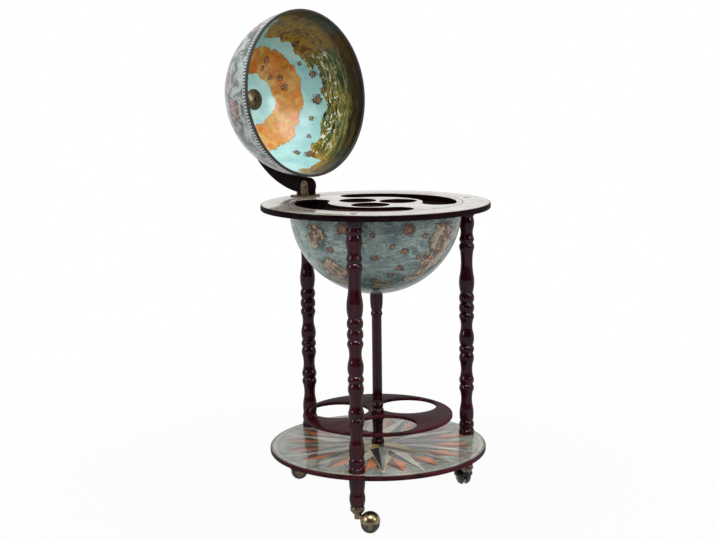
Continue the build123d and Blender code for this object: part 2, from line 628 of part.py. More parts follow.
def caster_ferrule():
    """Brass cup on the foot's spigot."""
    belly = FERRULE_BELLY - FERRULE_FLOOR
    cup = turned((FERRULE_TIP_R, FERRULE_BOTTOM), [
        (FERRULE_FLOOR - FERRULE_BOTTOM, FERRULE_R, 0), (belly, FERRULE_R, 0.2),
        (FERRULE_TOP - FERRULE_BELLY, FERRULE_RIM_R, 0.3),
    ])
    return cup - upright(SPIGOT_R, FERRULE_FLOOR, FERRULE_TOP) - upright(SLEEVE_R, 0, FERRULE_TOP)


def caster_sleeve():
    """Steel sleeve in the foot that the stem turns in."""
    sleeve = upright(SLEEVE_R, FERRULE_BOTTOM, SLEEVE_TOP)
    return sleeve - upright(STEM_R + STEM_PLAY, 0, STEM_TOP + STEM_PLAY)


def caster_stem():
    """Swivel stem, fast in the hood's neck."""
    return upright(STEM_R, NECK_BOTTOM, STEM_TOP)


def caster_hood():
    """Brass half ball over the wheels, with a web for the axle and a neck for the stem."""
    ball = Pos(CASTER_TRAIL, 0, HOOD_MIDDLE)
    skirt_bottom = HOOD_MIDDLE - HOOD_SKIRT
    reach = 2 * HOOD_R
    x0, x1 = CASTER_TRAIL - reach, CASTER_TRAIL + reach
    above = block(x0, x1, -reach, reach, HOOD_MIDDLE, HOOD_MIDDLE + reach)
    solid = (ball * Sphere(HOOD_R)) & above
    solid += Pos(CASTER_TRAIL, 0, 0) * upright(HOOD_R, skirt_bottom, HOOD_MIDDLE)
    inner_r = HOOD_R - HOOD_WALL
    hollow = (ball * Sphere(inner_r)) & above
    hollow += Pos(CASTER_TRAIL, 0, 0) * upright(inner_r, skirt_bottom, HOOD_MIDDLE)
    neck = upright(NECK_R, NECK_BOTTOM, NECK_TOP)
    lug = block(0, CASTER_TRAIL - HOOD_R / 2, -LUG_HALF, LUG_HALF, NECK_BOTTOM, LUG_TOP)
    hood = (solid + neck + lug) - (hollow - neck)
    half = WEB_WIDTH / 2
    x0, x1 = CASTER_TRAIL - half, CASTER_TRAIL + half
    hood += block(x0, x1, -WEB_HALF, WEB_HALF, HOOD_MIDDLE, HOOD_MIDDLE + HOOD_R) & solid
    hood += block(x0, x1, -WEB_HALF, WEB_HALF, WHEEL_R, HOOD_MIDDLE)
    hood += across(half, -WEB_HALF, WEB_HALF)
    hood -= across(AXLE_R + AXLE_PLAY, -WEB_HALF, WEB_HALF)
    return hood - upright(STEM_R, NECK_BOTTOM, NECK_TOP)


def caster_wheels():
    """Two black half-ball wheels."""
    steps = [
        (WHEEL_TREAD_EDGE - WHEEL_INNER_FACE, WHEEL_R, 0),
        (WHEEL_OUTER_FACE - WHEEL_TREAD_EDGE, WHEEL_FACE_R, 0.5),
    ]
    bore = across(AXLE_R, -WHEEL_OUTER_FACE, WHEEL_OUTER_FACE)
    return [wheel - bore for wheel in on_axle((WHEEL_R, WHEEL_INNER_FACE), steps)]


def caster_hub_caps():
    """Brass dome on each wheel's outer face."""
    steps = [(HUB_CAP_RISE, 2.0, 1.6)]
    return on_axle((HUB_CAP_R, WHEEL_OUTER_FACE), steps)


def caster_axle():
    """Axle, tight in both wheels and free in the hood's web."""
    return across(AXLE_R, -WHEEL_OUTER_FACE, WHEEL_OUTER_FACE)


# ---- assembly -------------------------------------------------------------------
def at_legs(piece):
    """Copies of a piece built on the middle axis, one on each leg's axis."""
    return [around(LEG_PITCH_R, angle) * piece for angle in LEG_ANGLES.values()]


def place_caster(piece, name):
    """Puts a caster piece under its foot, trailing the way that caster stands."""
    return around(LEG_PITCH_R, LEG_ANGLES[name]) * (Rot(0, 0, CASTER_TURNS[name]) * piece)


parts = {
    "ring_board": ring_board(),
    "tray": tray(),
    "glass_board": glass_board(),
    "bottle_board": bottle_board(),
    "lower_bowl": lower_bowl(),
    "shelf_board": shelf_board(),
    "leg_bolts": at_legs(leg_bolt()),
    "leg_inserts": at_legs(leg_insert()),
    "shelf_studs": at_legs(shelf_stud()),
    "bottle_plate": bottle_plate(),
    "centre_post": centre_post(),
    "post_foot": post_foot(),
    "post_stud": post_stud(),
    "post_top_washer": post_top_washer(),
    "post_screws": post_screws(),
    "hinge_bracket": hinge_bracket(),
    "hinge_pin": hinge_pin(),
    "hinge_screws": [place * hinge_screw() for place in hinge_screw_places()],
    "lid_arm": lid_arm(),
    "pole_washer": pole_washer(),
    "pole_bolt": pole_bolt(),
    "pole_finial": pole_finial(),
    "lid_shell": lid_shell(),
    "lid_edging": lid_edging(),
    "lid_boss": lid_boss(),
}

CASTER_PIECES = {
    "caster_ferrule": [caster_ferrule()],
    "caster_sleeve": [caster_sleeve()],
    "caster_stem": [caster_stem()],
    "caster_hood": [caster_hood()],
    "caster_wheels": caster_wheels(),
    "caster_hub_caps": caster_hub_caps(),
    "caster_axle": [caster_axle()],
}

for name, angle in LEG_ANGLES.items():
    parts[f"leg_{name}"] = around(LEG_PITCH_R, angle) * leg()
    parts[f"foot_{name}"] = around(LEG_PITCH_R, angle) * foot()
    for piece_name, pieces in CASTER_PIECES.items():
        parts[f"{piece_name}_{name}"] = [place_caster(piece, name) for piece in pieces]

os.makedirs("parts", exist_ok=True)
for name, shape in parts.items():
    if isinstance(shape, list):
        solids = [solid for piece in shape for solid in piece.solids()]
        shape = Compound(children=solids) if len(solids) > 1 else solids[0]
    export_step(shape, f"parts/{name}.step")
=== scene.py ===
import bmesh
import bpy
from math import atan2, cos, degrees, pi, radians, sin, sqrt
from mathutils import Matrix, Vector


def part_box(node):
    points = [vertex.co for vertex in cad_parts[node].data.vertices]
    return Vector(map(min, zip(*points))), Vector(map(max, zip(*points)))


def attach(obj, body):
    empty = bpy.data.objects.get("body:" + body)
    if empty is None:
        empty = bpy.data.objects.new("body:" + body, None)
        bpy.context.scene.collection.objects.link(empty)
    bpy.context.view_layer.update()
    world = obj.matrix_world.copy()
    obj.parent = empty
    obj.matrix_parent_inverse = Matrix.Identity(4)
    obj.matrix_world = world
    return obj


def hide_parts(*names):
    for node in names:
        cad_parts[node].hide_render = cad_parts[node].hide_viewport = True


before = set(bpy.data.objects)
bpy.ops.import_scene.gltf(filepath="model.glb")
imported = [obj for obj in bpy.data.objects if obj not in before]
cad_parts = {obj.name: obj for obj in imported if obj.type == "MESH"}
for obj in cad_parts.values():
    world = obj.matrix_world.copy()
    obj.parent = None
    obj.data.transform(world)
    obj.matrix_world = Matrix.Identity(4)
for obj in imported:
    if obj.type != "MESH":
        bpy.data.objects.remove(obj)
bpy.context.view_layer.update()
MM = 0.001

# ---- camera ------------------------------------------------------------------------
# A camera at tripod height, two and a half metres off, that looks at the front left leg.
# It stands higher than the ring, so the tray and the shelf are seen from above.
CAMERA_PLACE = (-1.8421, -1.6587, 0.8682)
CAMERA_TURN = (80.635, 0.741, -47.312)          # degrees about X, Y and Z
CAMERA_LENS = 65.385                            # millimetres on a sensor 36 mm wide

camera_data = bpy.data.cameras.new("camera")
camera_data.lens = CAMERA_LENS
camera_data.sensor_width = 36.0
camera_data.sensor_fit = "HORIZONTAL"
camera = bpy.data.objects.new("camera", camera_data)
camera.location = CAMERA_PLACE
camera.rotation_euler = [radians(angle) for angle in CAMERA_TURN]
bpy.context.scene.collection.objects.link(camera)
bpy.context.scene.camera = camera
bpy.context.scene.view_settings.view_transform = "Standard"


# ---- floor, room and lamps ---------------------------------------------------------
# A white paper floor, white walls all round, and soft boxes: a large one to the right of
# the camera, a second to its left, a wide one overhead, and a narrow one above the camera
# that gives the turned wood and the casters their glints, and lights nothing else.
def paint(red, green, blue):
    """A colour as a paint chart gives it, 0 to 255, turned into light values."""
    parts = [value / 255 for value in (red, green, blue)]
    return [p / 12.92 if p <= 0.04045 else ((p + 0.055) / 1.055) ** 2.4 for p in parts] + [1.0]


class Amount:
    """A number that changes over a surface; sums and products of Amounts add Math nodes."""

    def __init__(self, tree, output):
        self.tree = tree
        self.output = output

    def maths(self, operation, *others):
        return add_maths(self.tree, operation, self, *others)

    def __add__(self, other):
        return self.maths("ADD", other)

    def __sub__(self, other):
        return self.maths("SUBTRACT", other)

    def __mul__(self, other):
        return self.maths("MULTIPLY", other)

    def __truediv__(self, other):
        return self.maths("DIVIDE", other)

    def __rsub__(self, other):
        return add_maths(self.tree, "SUBTRACT", other, self)

    def least(self, other):
        return self.maths("MINIMUM", other)

    def most(self, other):
        return self.maths("MAXIMUM", other)

    def over(self, edge, soft):
        """0 below an edge, 1 above it, with a soft step of the given half width."""
        made = add_node(self.tree, "MapRange", {0: self}, interpolation_type="SMOOTHSTEP")
        for number, value in enumerate((edge - soft, edge + soft, 0.0, 1.0), start=1):
            join(self.tree, value, made.inputs[number])
        return Amount(self.tree, made.outputs[0])

    def under(self, edge, soft):
        """1 below an edge, 0 above it."""
        return 1 - self.over(edge, soft)

    def line(self, half, soft):
        """1 where the number is within half of zero."""
        return self.maths("ABSOLUTE").under(half, soft)


def join(tree, value, socket):
    """Feeds a socket with an Amount, a node's output or a plain value."""
    if isinstance(value, Amount):
        value = value.output
    if isinstance(value, bpy.types.NodeSocket):
        tree.links.new(value, socket)
    else:
        socket.default_value = value


def add_node(tree, kind, inputs=None, **settings):
    """Adds a shader node; inputs are values or outputs for its sockets."""
    made = tree.nodes.new("ShaderNode" + kind)
    for name, value in settings.items():
        setattr(made, name, value)
    for socket, value in (inputs or {}).items():
        join(tree, value, made.inputs[socket])
    return made


def add_maths(tree, operation, *values):
    """Adds a Math node over numbers and Amounts."""
    made = add_node(tree, "Math", dict(enumerate(values)), operation=operation)
    return Amount(tree, made.outputs[0])


def painted(tree, colour, *coats):
    """Lays coats, each an amount and a colour, over a first colour; a tuple is read as a paint chart."""
    for amount, coat in coats:
        under, over = (paint(*shade) if isinstance(shade, tuple) else shade for shade in (colour, coat))
        colour = add_node(tree, "Mix", {0: amount, 6: under, 7: over}, data_type="RGBA").outputs[2]
    return colour


def measured(tree, operation, *vectors):
    """A number from vectors: their distance, length or dot product."""
    made = add_node(tree, "VectorMath", dict(enumerate(vectors)), operation=operation)
    return Amount(tree, made.outputs["Value"])


def new_material(name):
    """An empty material and its node tree."""
    material = bpy.data.materials.new(name)
    material.use_nodes = True
    material.node_tree.nodes.clear()
    return material, material.node_tree


def set_surface(tree, kind, inputs):
    """Adds a shader with its inputs and makes it the surface."""
    shader = add_node(tree, kind, inputs)
    join(tree, shader.outputs[0], add_node(tree, "OutputMaterial").inputs["Surface"])


def seen_directly(tree):
    """1 for rays that go from the camera, or on from gloss or glass, straight to this surface."""
    path = add_node(tree, "LightPath")
    straight, off_gloss, through_glass = (
        Amount(tree, path.outputs[f"Is {ray} Ray"]) for ray in ("Camera", "Glossy", "Transmission"))
    return straight.most(off_gloss).most(through_glass)


world = bpy.data.worlds.new("studio")
world.use_nodes = True
bpy.context.scene.world = world
room = world.node_tree
room.nodes.clear()
WALL_LIGHT = 0.22
CURTAIN_SIDE = (-0.74, -0.67, 0.0)              # a dark curtain hangs there, for reflections alone
CURTAIN_SHADE = 0.92
camera_ray = Amount(room, add_node(room, "LightPath").outputs["Is Camera Ray"])
curtain = measured(room, "DOT_PRODUCT", add_node(room, "TexCoord").outputs["Generated"], CURTAIN_SIDE)
reflected = 1 - curtain.over(0.2, 0.45) * CURTAIN_SHADE
wall_strength = add_node(
    room, "Mix", {0: seen_directly(room), 2: WALL_LIGHT, 3: reflected.most(camera_ray)}, data_type="FLOAT")
wall = add_node(room, "Background", {"Color": (1, 1, 1, 1), "Strength": wall_strength.outputs[0]})
join(room, wall.outputs[0], add_node(room, "OutputWorld").inputs["Surface"])

FLOOR_SIZE = 14.0
FLOOR_GLOW = 0.965                              # share of the floor that shows as plain white
floor_mesh = bmesh.new()
bmesh.ops.create_grid(floor_mesh, x_segments=1, y_segments=1, size=FLOOR_SIZE / 2)
floor_data = bpy.data.meshes.new("floor")
floor_mesh.to_mesh(floor_data)
floor = bpy.data.objects.new("floor", floor_data)
bpy.context.scene.collection.objects.link(floor)
floor_white, paper = new_material("floor_white")
paper_matte = add_node(paper, "BsdfDiffuse", {"Color": paint(170, 170, 170)})
paper_glow = add_node(paper, "Emission", {"Color": (1, 1, 1, 1), "Strength": 1.0})
from_middle = measured(paper, "LENGTH", add_node(paper, "TexCoord").outputs["Object"])
glow_share = seen_directly(paper) * (from_middle.over(0.9, 0.6) * (1 - FLOOR_GLOW) + FLOOR_GLOW)
set_surface(paper, "MixShader", {0: glow_share, 1: paper_matte.outputs[0], 2: paper_glow.outputs[0]})
floor_data.materials.append(floor_white)

SOFT_BOXES = {                                  # place, aimed at, width, height, watts
    "right_box": ((0.6, -2.6, 1.55), (0.0, 0.0, 0.75), 0.8, 1.0, 25.0),
    "left_box": ((-2.7, 0.9, 1.5), (0.0, 0.0, 0.6), 0.9, 1.5, 36.0),
    "top_box": ((-0.3, -1.3, 2.7), (0.0, 0.1, 0.7), 2.0, 2.0, 66.0),
    "glint_box": ((-1.1, -1.0, 2.3), (-0.1, -0.1, 0.4), 1.1, 0.4, 32.0),
}
glinting = bpy.data.collections.new("glinting")   # the pieces that the narrow box shows in
for name, (place, aim, width, height, watts) in SOFT_BOXES.items():
    lamp_data = bpy.data.lights.new(name, "AREA")
    lamp_data.shape = "RECTANGLE"
    lamp_data.size = width
    lamp_data.size_y = height
    lamp_data.energy = watts
    lamp = bpy.data.objects.new(name, lamp_data)
    lamp.location = place
    lamp.rotation_euler = (Vector(aim) - Vector(place)).to_track_quat("-Z", "Y").to_euler()
    lamp.visible_camera = False
    if name == "glint_box":
        lamp.visible_diffuse = False
        lamp.light_linking.receiver_collection = glinting
    bpy.context.scene.collection.objects.link(lamp)


# ---- table ring --------------------------------------------------------------------
# A board of dark mahogany, 440 mm across, with softly rounded edges. A printed and
# varnished paper lies on its top, and a ledge inside it carries the tray.
ARC_STEPS = 10


def arc(start, end, bulge):
    """Points after start on an arc to end; it stands out to the right of the way there by bulge."""
    start, end = Vector(start), Vector(end)
    chord = end - start
    if not bulge:
        return [end]
    radius = (chord.length ** 2 / 4 + bulge ** 2) / (2 * abs(bulge))
    side = Vector((chord.y, -chord.x)).normalized() * (1 if bulge > 0 else -1)
    centre = start + chord / 2 + side * (abs(bulge) - radius)
    first = atan2(*(start - centre).yx)
    turn = atan2(*(end - centre).yx) - first
    turn = (turn + radians(180)) % radians(360) - radians(180)
    turns = [first + turn * n / ARC_STEPS for n in range(1, ARC_STEPS + 1)]
    return [centre + radius * Vector((cos(turn), sin(turn))) for turn in turns]


def outline(start, *stretches):
    """An outline from a start point and stretches (radius, height, bulge)."""
    points = [Vector(start)]
    for radius, height, bulge in stretches:
        points += arc(points[-1], (radius, height), bulge)
    return points


def turned(points, sides, closed=False):
    """A mesh turned about Z from (radius, height) points in millimetres."""
    mesh = bmesh.new()
    corners = [mesh.verts.new((radius * MM, 0, height * MM)) for radius, height in points]
    ways = [mesh.edges.new(pair) for pair in zip(corners, corners[1:])]
    if closed:
        ways.append(mesh.edges.new((corners[-1], corners[0])))
    bmesh.ops.spin(mesh, geom=corners + ways, axis=(0, 0, 1), angle=radians(360), steps=sides, use_merge=True)
    bmesh.ops.remove_doubles(mesh, verts=mesh.verts, dist=0.001 * MM)
    return mesh


SHARP_ANGLE = 35                                # degrees past which an edge stays crisp


def set_piece(name, mesh, materials, body, stands_for):
    """Makes a finished piece of a mesh; body is what it moves with, stands_for the nodes it replaces."""
    bmesh.ops.recalc_face_normals(mesh, faces=mesh.faces)
    data = bpy.data.meshes.new(name)
    mesh.to_mesh(data)
    mesh.free()
    data.shade_smooth()
    data.set_sharp_from_angle(angle=radians(SHARP_ANGLE))
    for material in materials:
        data.materials.append(material)
    piece = bpy.data.objects.new(name, data)
    bpy.context.scene.collection.objects.link(piece)
    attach(piece, body)
    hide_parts(*stands_for)
    return piece


def heights(node):
    """Lowest and highest point of a node, in millimetres."""
    low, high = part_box(node)
    return low[2] / MM, high[2] / MM


def reach(node):
    """Outside radius of a round node on the middle axis, in millimetres."""
    low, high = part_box(node)
    return (high[0] - low[0]) / 2 / MM


def print_top(mesh):
    """Gives the faces that look up the second material, the print."""
    bmesh.ops.recalc_face_normals(mesh, faces=mesh.faces)
    for face in mesh.faces:
        if face.normal.z > 0.97:
            face.material_index = 1


def corners_of(geometry):
    """The vertices among what an operator gives back."""
    return [item for item in geometry if isinstance(item, bmesh.types.BMVert)]


def swept(mesh, corner, centre, angle, steps):
    """Draws an arc by turning a corner about a centre; gives the corner that it ends on."""
    result = bmesh.ops.spin(
        mesh, geom=[corner], cent=centre, axis=(0, 0, 1), angle=radians(angle), steps=steps)
    return corners_of(result["geom_last"])[0]


def polar(radius, angle, height=0.0):
    """A place about the middle axis, from millimetres and degrees to metres."""
    return Vector((radius * cos(radians(angle)), radius * sin(radians(angle)), height)) * MM


def drawn_hole(mesh, radius, centre, steps=72):
    """Draws a round hole."""
    bmesh.ops.create_circle(mesh, segments=steps, radius=radius * MM, matrix=Matrix.Translation(centre))


def board(mesh, low, high, rounding, outer_rounding=None):
    """Fills drawn outlines to a board between two heights and rounds its edges."""
    bmesh.ops.remove_doubles(mesh, verts=mesh.verts, dist=0.001 * MM)
    bmesh.ops.triangle_fill(mesh, use_beauty=True, use_dissolve=False, edges=mesh.edges)
    bmesh.ops.translate(mesh, verts=mesh.verts, vec=(0, 0, low * MM))
    top = bmesh.ops.extrude_face_region(mesh, geom=mesh.faces[:], use_keep_orig=True)["geom"]
    bmesh.ops.translate(mesh, verts=corners_of(top), vec=(0, 0, (high - low) * MM))
    bmesh.ops.recalc_face_normals(mesh, faces=mesh.faces)
    rims = [edge for edge in mesh.edges if edge.calc_face_angle(0) > radians(60)]
    outer = []
    if outer_rounding:
        widest = max(vert.co.xy.length for vert in mesh.verts) - MM
        outer = [edge for edge in rims if min(vert.co.xy.length for vert in edge.verts) > widest]
    inner = [edge for edge in rims if edge not in outer]
    for edges, offset in ((outer, outer_rounding), (inner, rounding)):
        if edges:
            bmesh.ops.bevel(
                mesh, geom=edges, offset=offset * MM, segments=4, profile=0.5, affect="EDGES", material=-1)


def noise(tree, vector, size, detail=3.0, twist=0.0):
    """Soft noise about 0.5, its lumps about a size across in the vector's own unit."""
    made = add_node(
        tree, "TexNoise", {"Vector": vector, "Scale": 1 / size, "Detail": detail, "Distortion": twist})
    return Amount(tree, made.outputs["Fac"])


def bumps(tree, height, strength, depth):
    """A surface normal from a height that changes over the surface."""
    made = add_node(tree, "Bump", {"Height": height, "Strength": strength, "Distance": depth})
    return made.outputs[0]


def new_group(name, inputs, outputs):
    """An empty node group with named sockets; a trailing star marks a vector."""
    tree = bpy.data.node_groups.new(name, "ShaderNodeTree")
    for names, way in ((inputs, "INPUT"), (outputs, "OUTPUT")):
        for socket in names:
            kind = "NodeSocketVector" if socket.endswith("*") else "NodeSocketFloat"
            tree.interface.new_socket(socket.rstrip("*"), in_out=way, socket_type=kind)
    given = tree.nodes.new("NodeGroupInput")
    result = tree.nodes.new("NodeGroupOutput")
    return tree, given.outputs, result.inputs


def use_group(tree, group, **values):
    """Places a group; gives its outputs by name."""
    made = add_node(tree, "Group", node_tree=group)
    for name, value in values.items():
        join(tree, value, made.inputs[name])
    return {output.name: Amount(tree, output) for output in made.outputs}


def grain_group():
    """Grain and pores of wood; the grain runs along Z before it is turned."""
    tree, given, result = new_group("wood_grain", ["Vector*"], ["Grain", "Pores"])
    broad = add_node(tree, "Mapping", {"Vector": given[0], "Scale": (60, 60, 5)}).outputs[0]
    fine = add_node(tree, "Mapping", {"Vector": given[0], "Scale": (900, 900, 28)}).outputs[0]
    join(tree, noise(tree, broad, 1.0, 4.0, 0.8), result["Grain"])
    join(tree, noise(tree, fine, 1.0, 2.0).over(0.62, 0.08), result["Pores"])
    return tree


wood_grain = grain_group()


def mahogany_material(name, dark, light, varnish, turn=(0, 0, 0)):
    """Dark red mahogany under some varnish, its grain along Z turned by the given degrees."""
    material, tree = new_material(name)
    place = add_node(tree, "TexCoord").outputs["Object"]
    along = add_node(tree, "Mapping", {"Vector": place, "Rotation": [radians(angle) for angle in turn]})
    figure, pores = use_group(tree, wood_grain, Vector=along.outputs[0]).values()
    wood = painted(tree, dark, (figure.over(0.5, 0.22), light), (pores * 0.5, (14, 4, 6)))
    waves = bumps(tree, noise(tree, place, 1 / 14), 0.08, 0.002)
    set_surface(tree, "BsdfPrincipled", {
        "Base Color": wood, "Roughness": figure * 0.12 + 0.34, "Specular IOR Level": 0.0,
        "Coat Weight": varnish, "Coat Roughness": 0.09, "Normal": waves})
    return material


mahogany_across = mahogany_material("mahogany_across", (14, 5, 8), (30, 10, 14), 0.07, (0, 90, 0))
red_mahogany_across = mahogany_material(
    "red_mahogany_across", (34, 9, 14), (74, 22, 32), 0.16, (0, 90, 0))


def print_place(tree, turn=(0, 0, 0), move=(0, 0, 0)):
    """A print's own place in millimetres."""
    place = add_node(tree, "TexCoord").outputs["Object"]
    made = add_node(tree, "Mapping", {"Vector": place, "Scale": (1 / MM,) * 3, "Location": move})
    join(tree, [radians(angle) for angle in turn], made.inputs["Rotation"])
    return made.outputs[0]


def apart(tree, vector):
    """The three parts of a vector."""
    made = add_node(tree, "SeparateXYZ", {0: vector})
    return [Amount(tree, made.outputs[number]) for number in range(3)]


def around_middle(tree, vector):
    """Distance from the Z axis, and angle about it in degrees."""
    x, y, _ = apart(tree, vector)
    return add_maths(tree, "SQRT", x * x + y * y), add_maths(tree, "ARCTAN2", y, x) * degrees(1)


def scale_band_group():
    """A printed scale: bars in turn black and white between two lines."""
    tree, given, result = new_group("scale_band", ["Across", "Along", "Width", "Block"], ["Band", "Ink"])
    across, along, width, block = (Amount(tree, socket) for socket in given[:4])
    inside = across.maths("ABSOLUTE") / width
    band = inside.under(0.5, 0.03)
    bars = add_maths(tree, "SINE", along / block * pi).over(0.0, 0.12)
    line = inside.over(0.42, 0.03)
    join(tree, band, result["Band"])
    join(tree, bars.most(line) * band, result["Ink"])
    return tree


scale_band = scale_band_group()


def printed_board(name, draw, varnish):
    """A varnished print on a board; draw(tree, place) gives its colour, its edge is mahogany."""
    material, tree = new_material(name)
    place = print_place(tree)
    colour = draw(tree, place)
    fibre = noise(tree, place, 1.1, 2.0)
    waves = bumps(tree, noise(tree, place, 45.0, 2.0), 0.06, 0.004)
    set_surface(tree, "BsdfPrincipled", {
        "Base Color": colour, "Roughness": fibre * 0.2 + 0.3, "Specular IOR Level": 0.3,
        "Coat Weight": varnish, "Coat Roughness": 0.07, "Normal": waves})
    return material


LEG_ANGLES = {"back": 90.0, "left": 210.0, "right": 330.0}
LEG_PITCH_R = 188.0
PRINT_BORDER_R = 216.0
MEDALLION_R = 15.0


def ring_drawing(tree, place):
    """Warm grey paper with scales, fine rings, brown flourishes and a pale medallion round each leg bolt."""
    radius, angle = around_middle(tree, place)
    cloud = noise(tree, place, 38.0, 5.0, 0.5)
    speck = noise(tree, place, 3.2, 3.0, 1.0)
    flourish = (noise(tree, place, 13.0, 3.0, 1.6) - 0.5).line(0.03, 0.02) * (radius - 187.0).line(10.0, 2.0)
    patch = noise(tree, place, 22.0, 4.0, 1.0).over(0.57, 0.05) * (radius - 170.0).line(16.0, 6.0)
    scale = use_group(tree, scale_band, Across=radius - 208.5, Along=angle * 3.6, Width=4.2, Block=5.0)
    inner_scale = use_group(tree, scale_band, Across=radius - 86.0, Along=angle * 1.5, Width=3.2, Block=3.75)
    colour = painted(
        tree, (140, 132, 122),
        (cloud.over(0.5, 0.2), (184, 178, 168)),
        (speck.over(0.6, 0.05) * 0.4, (120, 98, 78)),
        (flourish * 0.55, (96, 70, 56)),
        (patch * 0.6, (128, 92, 70)),
        (scale["Band"] * 0.5, (196, 190, 176)),
        (scale["Ink"] * 0.55, (86, 66, 54)),
        (inner_scale["Ink"] * 0.5, (96, 74, 60)))
    for line_r, half in ((159.0, 1.4), (172.5, 0.5), (202.0, 0.5)):
        colour = painted(tree, colour, ((radius - line_r).line(half, 0.3) * 0.8, (70, 44, 36)))
    flat = add_node(tree, "VectorMath", {0: place, 1: (1, 1, 0)}, operation="MULTIPLY").outputs[0]
    for leg_angle in LEG_ANGLES.values():
        away = measured(tree, "DISTANCE", flat, polar(LEG_PITCH_R, leg_angle) / MM)
        colour = painted(
            tree, colour,
            (away.under(MEDALLION_R, 0.8) * 0.85, (205, 199, 180)),
            ((away - MEDALLION_R).line(0.4, 0.3) * 0.6, (110, 88, 70)))
    return painted(tree, colour, (radius.over(PRINT_BORDER_R, 0.4), (60, 20, 22)))


ring_print = printed_board("ring_print", ring_drawing, 0.8)

ring_low, ring_high = heights("ring_board")
tray_low, tray_high = heights("tray")
RING_ROUND = 2.0
TRAY_JOINT = 0.6
LEDGE_R = 156.5
BOLT_RECESS_R = 7.8
ring_r = reach("ring_board")
tray_r = reach("tray")
ring_mesh = bmesh.new()
drawn_hole(ring_mesh, ring_r, (0, 0, 0), 192)
drawn_hole(ring_mesh, tray_r + TRAY_JOINT, (0, 0, 0), 160)
for angle in LEG_ANGLES.values():
    drawn_hole(ring_mesh, BOLT_RECESS_R, polar(LEG_PITCH_R, angle), 40)
board(ring_mesh, ring_low, ring_high, 0.3, RING_ROUND)
ledge_r = tray_r + TRAY_JOINT + 0.5
ledge = [(LEDGE_R, ring_low), (ledge_r, ring_low), (ledge_r, tray_low), (LEDGE_R, tray_low)]
ledge_mesh = turned(ledge, 160, closed=True)
print_top(ring_mesh)
set_piece("ring", ring_mesh, [mahogany_across, ring_print], "frame", ["ring_board"])
set_piece("ring_ledge", ledge_mesh, [mahogany_across], "frame", ["ring_board"])


# ---- tray --------------------------------------------------------------------------
# A printed disc, flush in the ring. Two curved slots take the glasses and three wells
# the bottles; their edges are rounded over.
GLASS_PITCH_R = 123.0
SLOT_HALF = 32.0
SLOT_SPAN = 120.0
WELL_R = 36.0
WELL_PITCH_R = 46.0

tray_mesh = bmesh.new()
drawn_hole(tray_mesh, tray_r, (0, 0, 0), 192)
for middle in (0, 180):
    first, last = middle - SLOT_SPAN / 2, middle + SLOT_SPAN / 2
    corner = tray_mesh.verts.new(polar(GLASS_PITCH_R + SLOT_HALF, first))
    corner = swept(tray_mesh, corner, (0, 0, 0), SLOT_SPAN, 60)
    corner = swept(tray_mesh, corner, polar(GLASS_PITCH_R, last), 180, 24)
    corner = swept(tray_mesh, corner, (0, 0, 0), -SLOT_SPAN, 40)
    swept(tray_mesh, corner, polar(GLASS_PITCH_R, first), 180, 24)
for angle in LEG_ANGLES.values():
    drawn_hole(tray_mesh, WELL_R, polar(WELL_PITCH_R, angle))
board(tray_mesh, tray_low, tray_high, 0.8)
print_top(tray_mesh)
set_piece("tray", tray_mesh, [mahogany_across, ring_print], "frame", ["tray"])


# ---- boards inside the bowl --------------------------------------------------------
# Two plain boards, stained dark. The glasses' feet stand on the upper one, and the
# bottles pass through it down to the lower one.
for name, sides, wells in (("glass_board", 128, LEG_ANGLES.values()), ("bottle_board", 96, ())):
    inner_board_mesh = bmesh.new()
    drawn_hole(inner_board_mesh, reach(name), (0, 0, 0), sides)
    for angle in wells:
        drawn_hole(inner_board_mesh, WELL_R, polar(WELL_PITCH_R, angle))
    board(inner_board_mesh, *heights(name), 0.6)
    set_piece(name, inner_board_mesh, [mahogany_across], "frame", [name])


# ---- lower half globe --------------------------------------------------------------
# A shell of pressed fibre, 330 mm across and 4 mm thick, with a varnished map print
# outside. Its rim stands in a groove under the ring.
GLOBE_R = 165.0
GLOBE_WALL = 4.0
GLOBE_MIDDLE_Z = 580.0
BOWL_FLAT = 0.6                                 # how much shorter than a full half globe it ends below


def coastline_group():
    """Coasts on a print: where noise and a lift together pass zero."""
    tree, given, result = new_group(
        "coastline", ["Vector*", "Size", "Lift"], ["Land", "Shore", "Shallows", "Relief"])
    vector, size, lift = given[:3]
    smaller = add_node(tree, "VectorMath", {0: vector}, operation="SCALE")
    join(tree, add_maths(tree, "DIVIDE", 1.0, Amount(tree, size)), smaller.inputs["Scale"])
    near = smaller.outputs[0]
    height = noise(tree, near, 1.0, 6.0, 0.35) - 0.5 + Amount(tree, lift)
    join(tree, height.over(0.0, 0.004), result["Land"])
    join(tree, height.line(0.014, 0.01), result["Shore"])
    join(tree, height.line(0.03, 0.03), result["Shallows"])
    join(tree, noise(tree, near, 0.16, 5.0, 1.0), result["Relief"])
    return tree


def motif_group():
    """A small painted ornament, a sprig of leaves: its ink, its fill and its lights."""
    tree, given, result = new_group("motif", ["Vector*", "Place*", "Size"], ["Ink", "Fill", "Light"])
    vector, place, size = given[:3]
    away = measured(tree, "DISTANCE", vector, place) / Amount(tree, size)
    ragged = away + (noise(tree, vector, 5.5, 2.0, 1.2) - 0.5) * 2.6
    inside = ragged.under(0.8, 0.06)
    join(tree, inside, result["Fill"])
    join(tree, noise(tree, vector, 3.4, 2.0, 0.8).over(0.54, 0.05) * inside, result["Light"])
    veins = (noise(tree, vector, 4.2, 2.0, 2.0) - 0.5).line(0.05, 0.03) * inside
    join(tree, (ragged - 0.82).line(0.22, 0.1).most(veins), result["Ink"])
    return tree


coastline = coastline_group()
motif = motif_group()


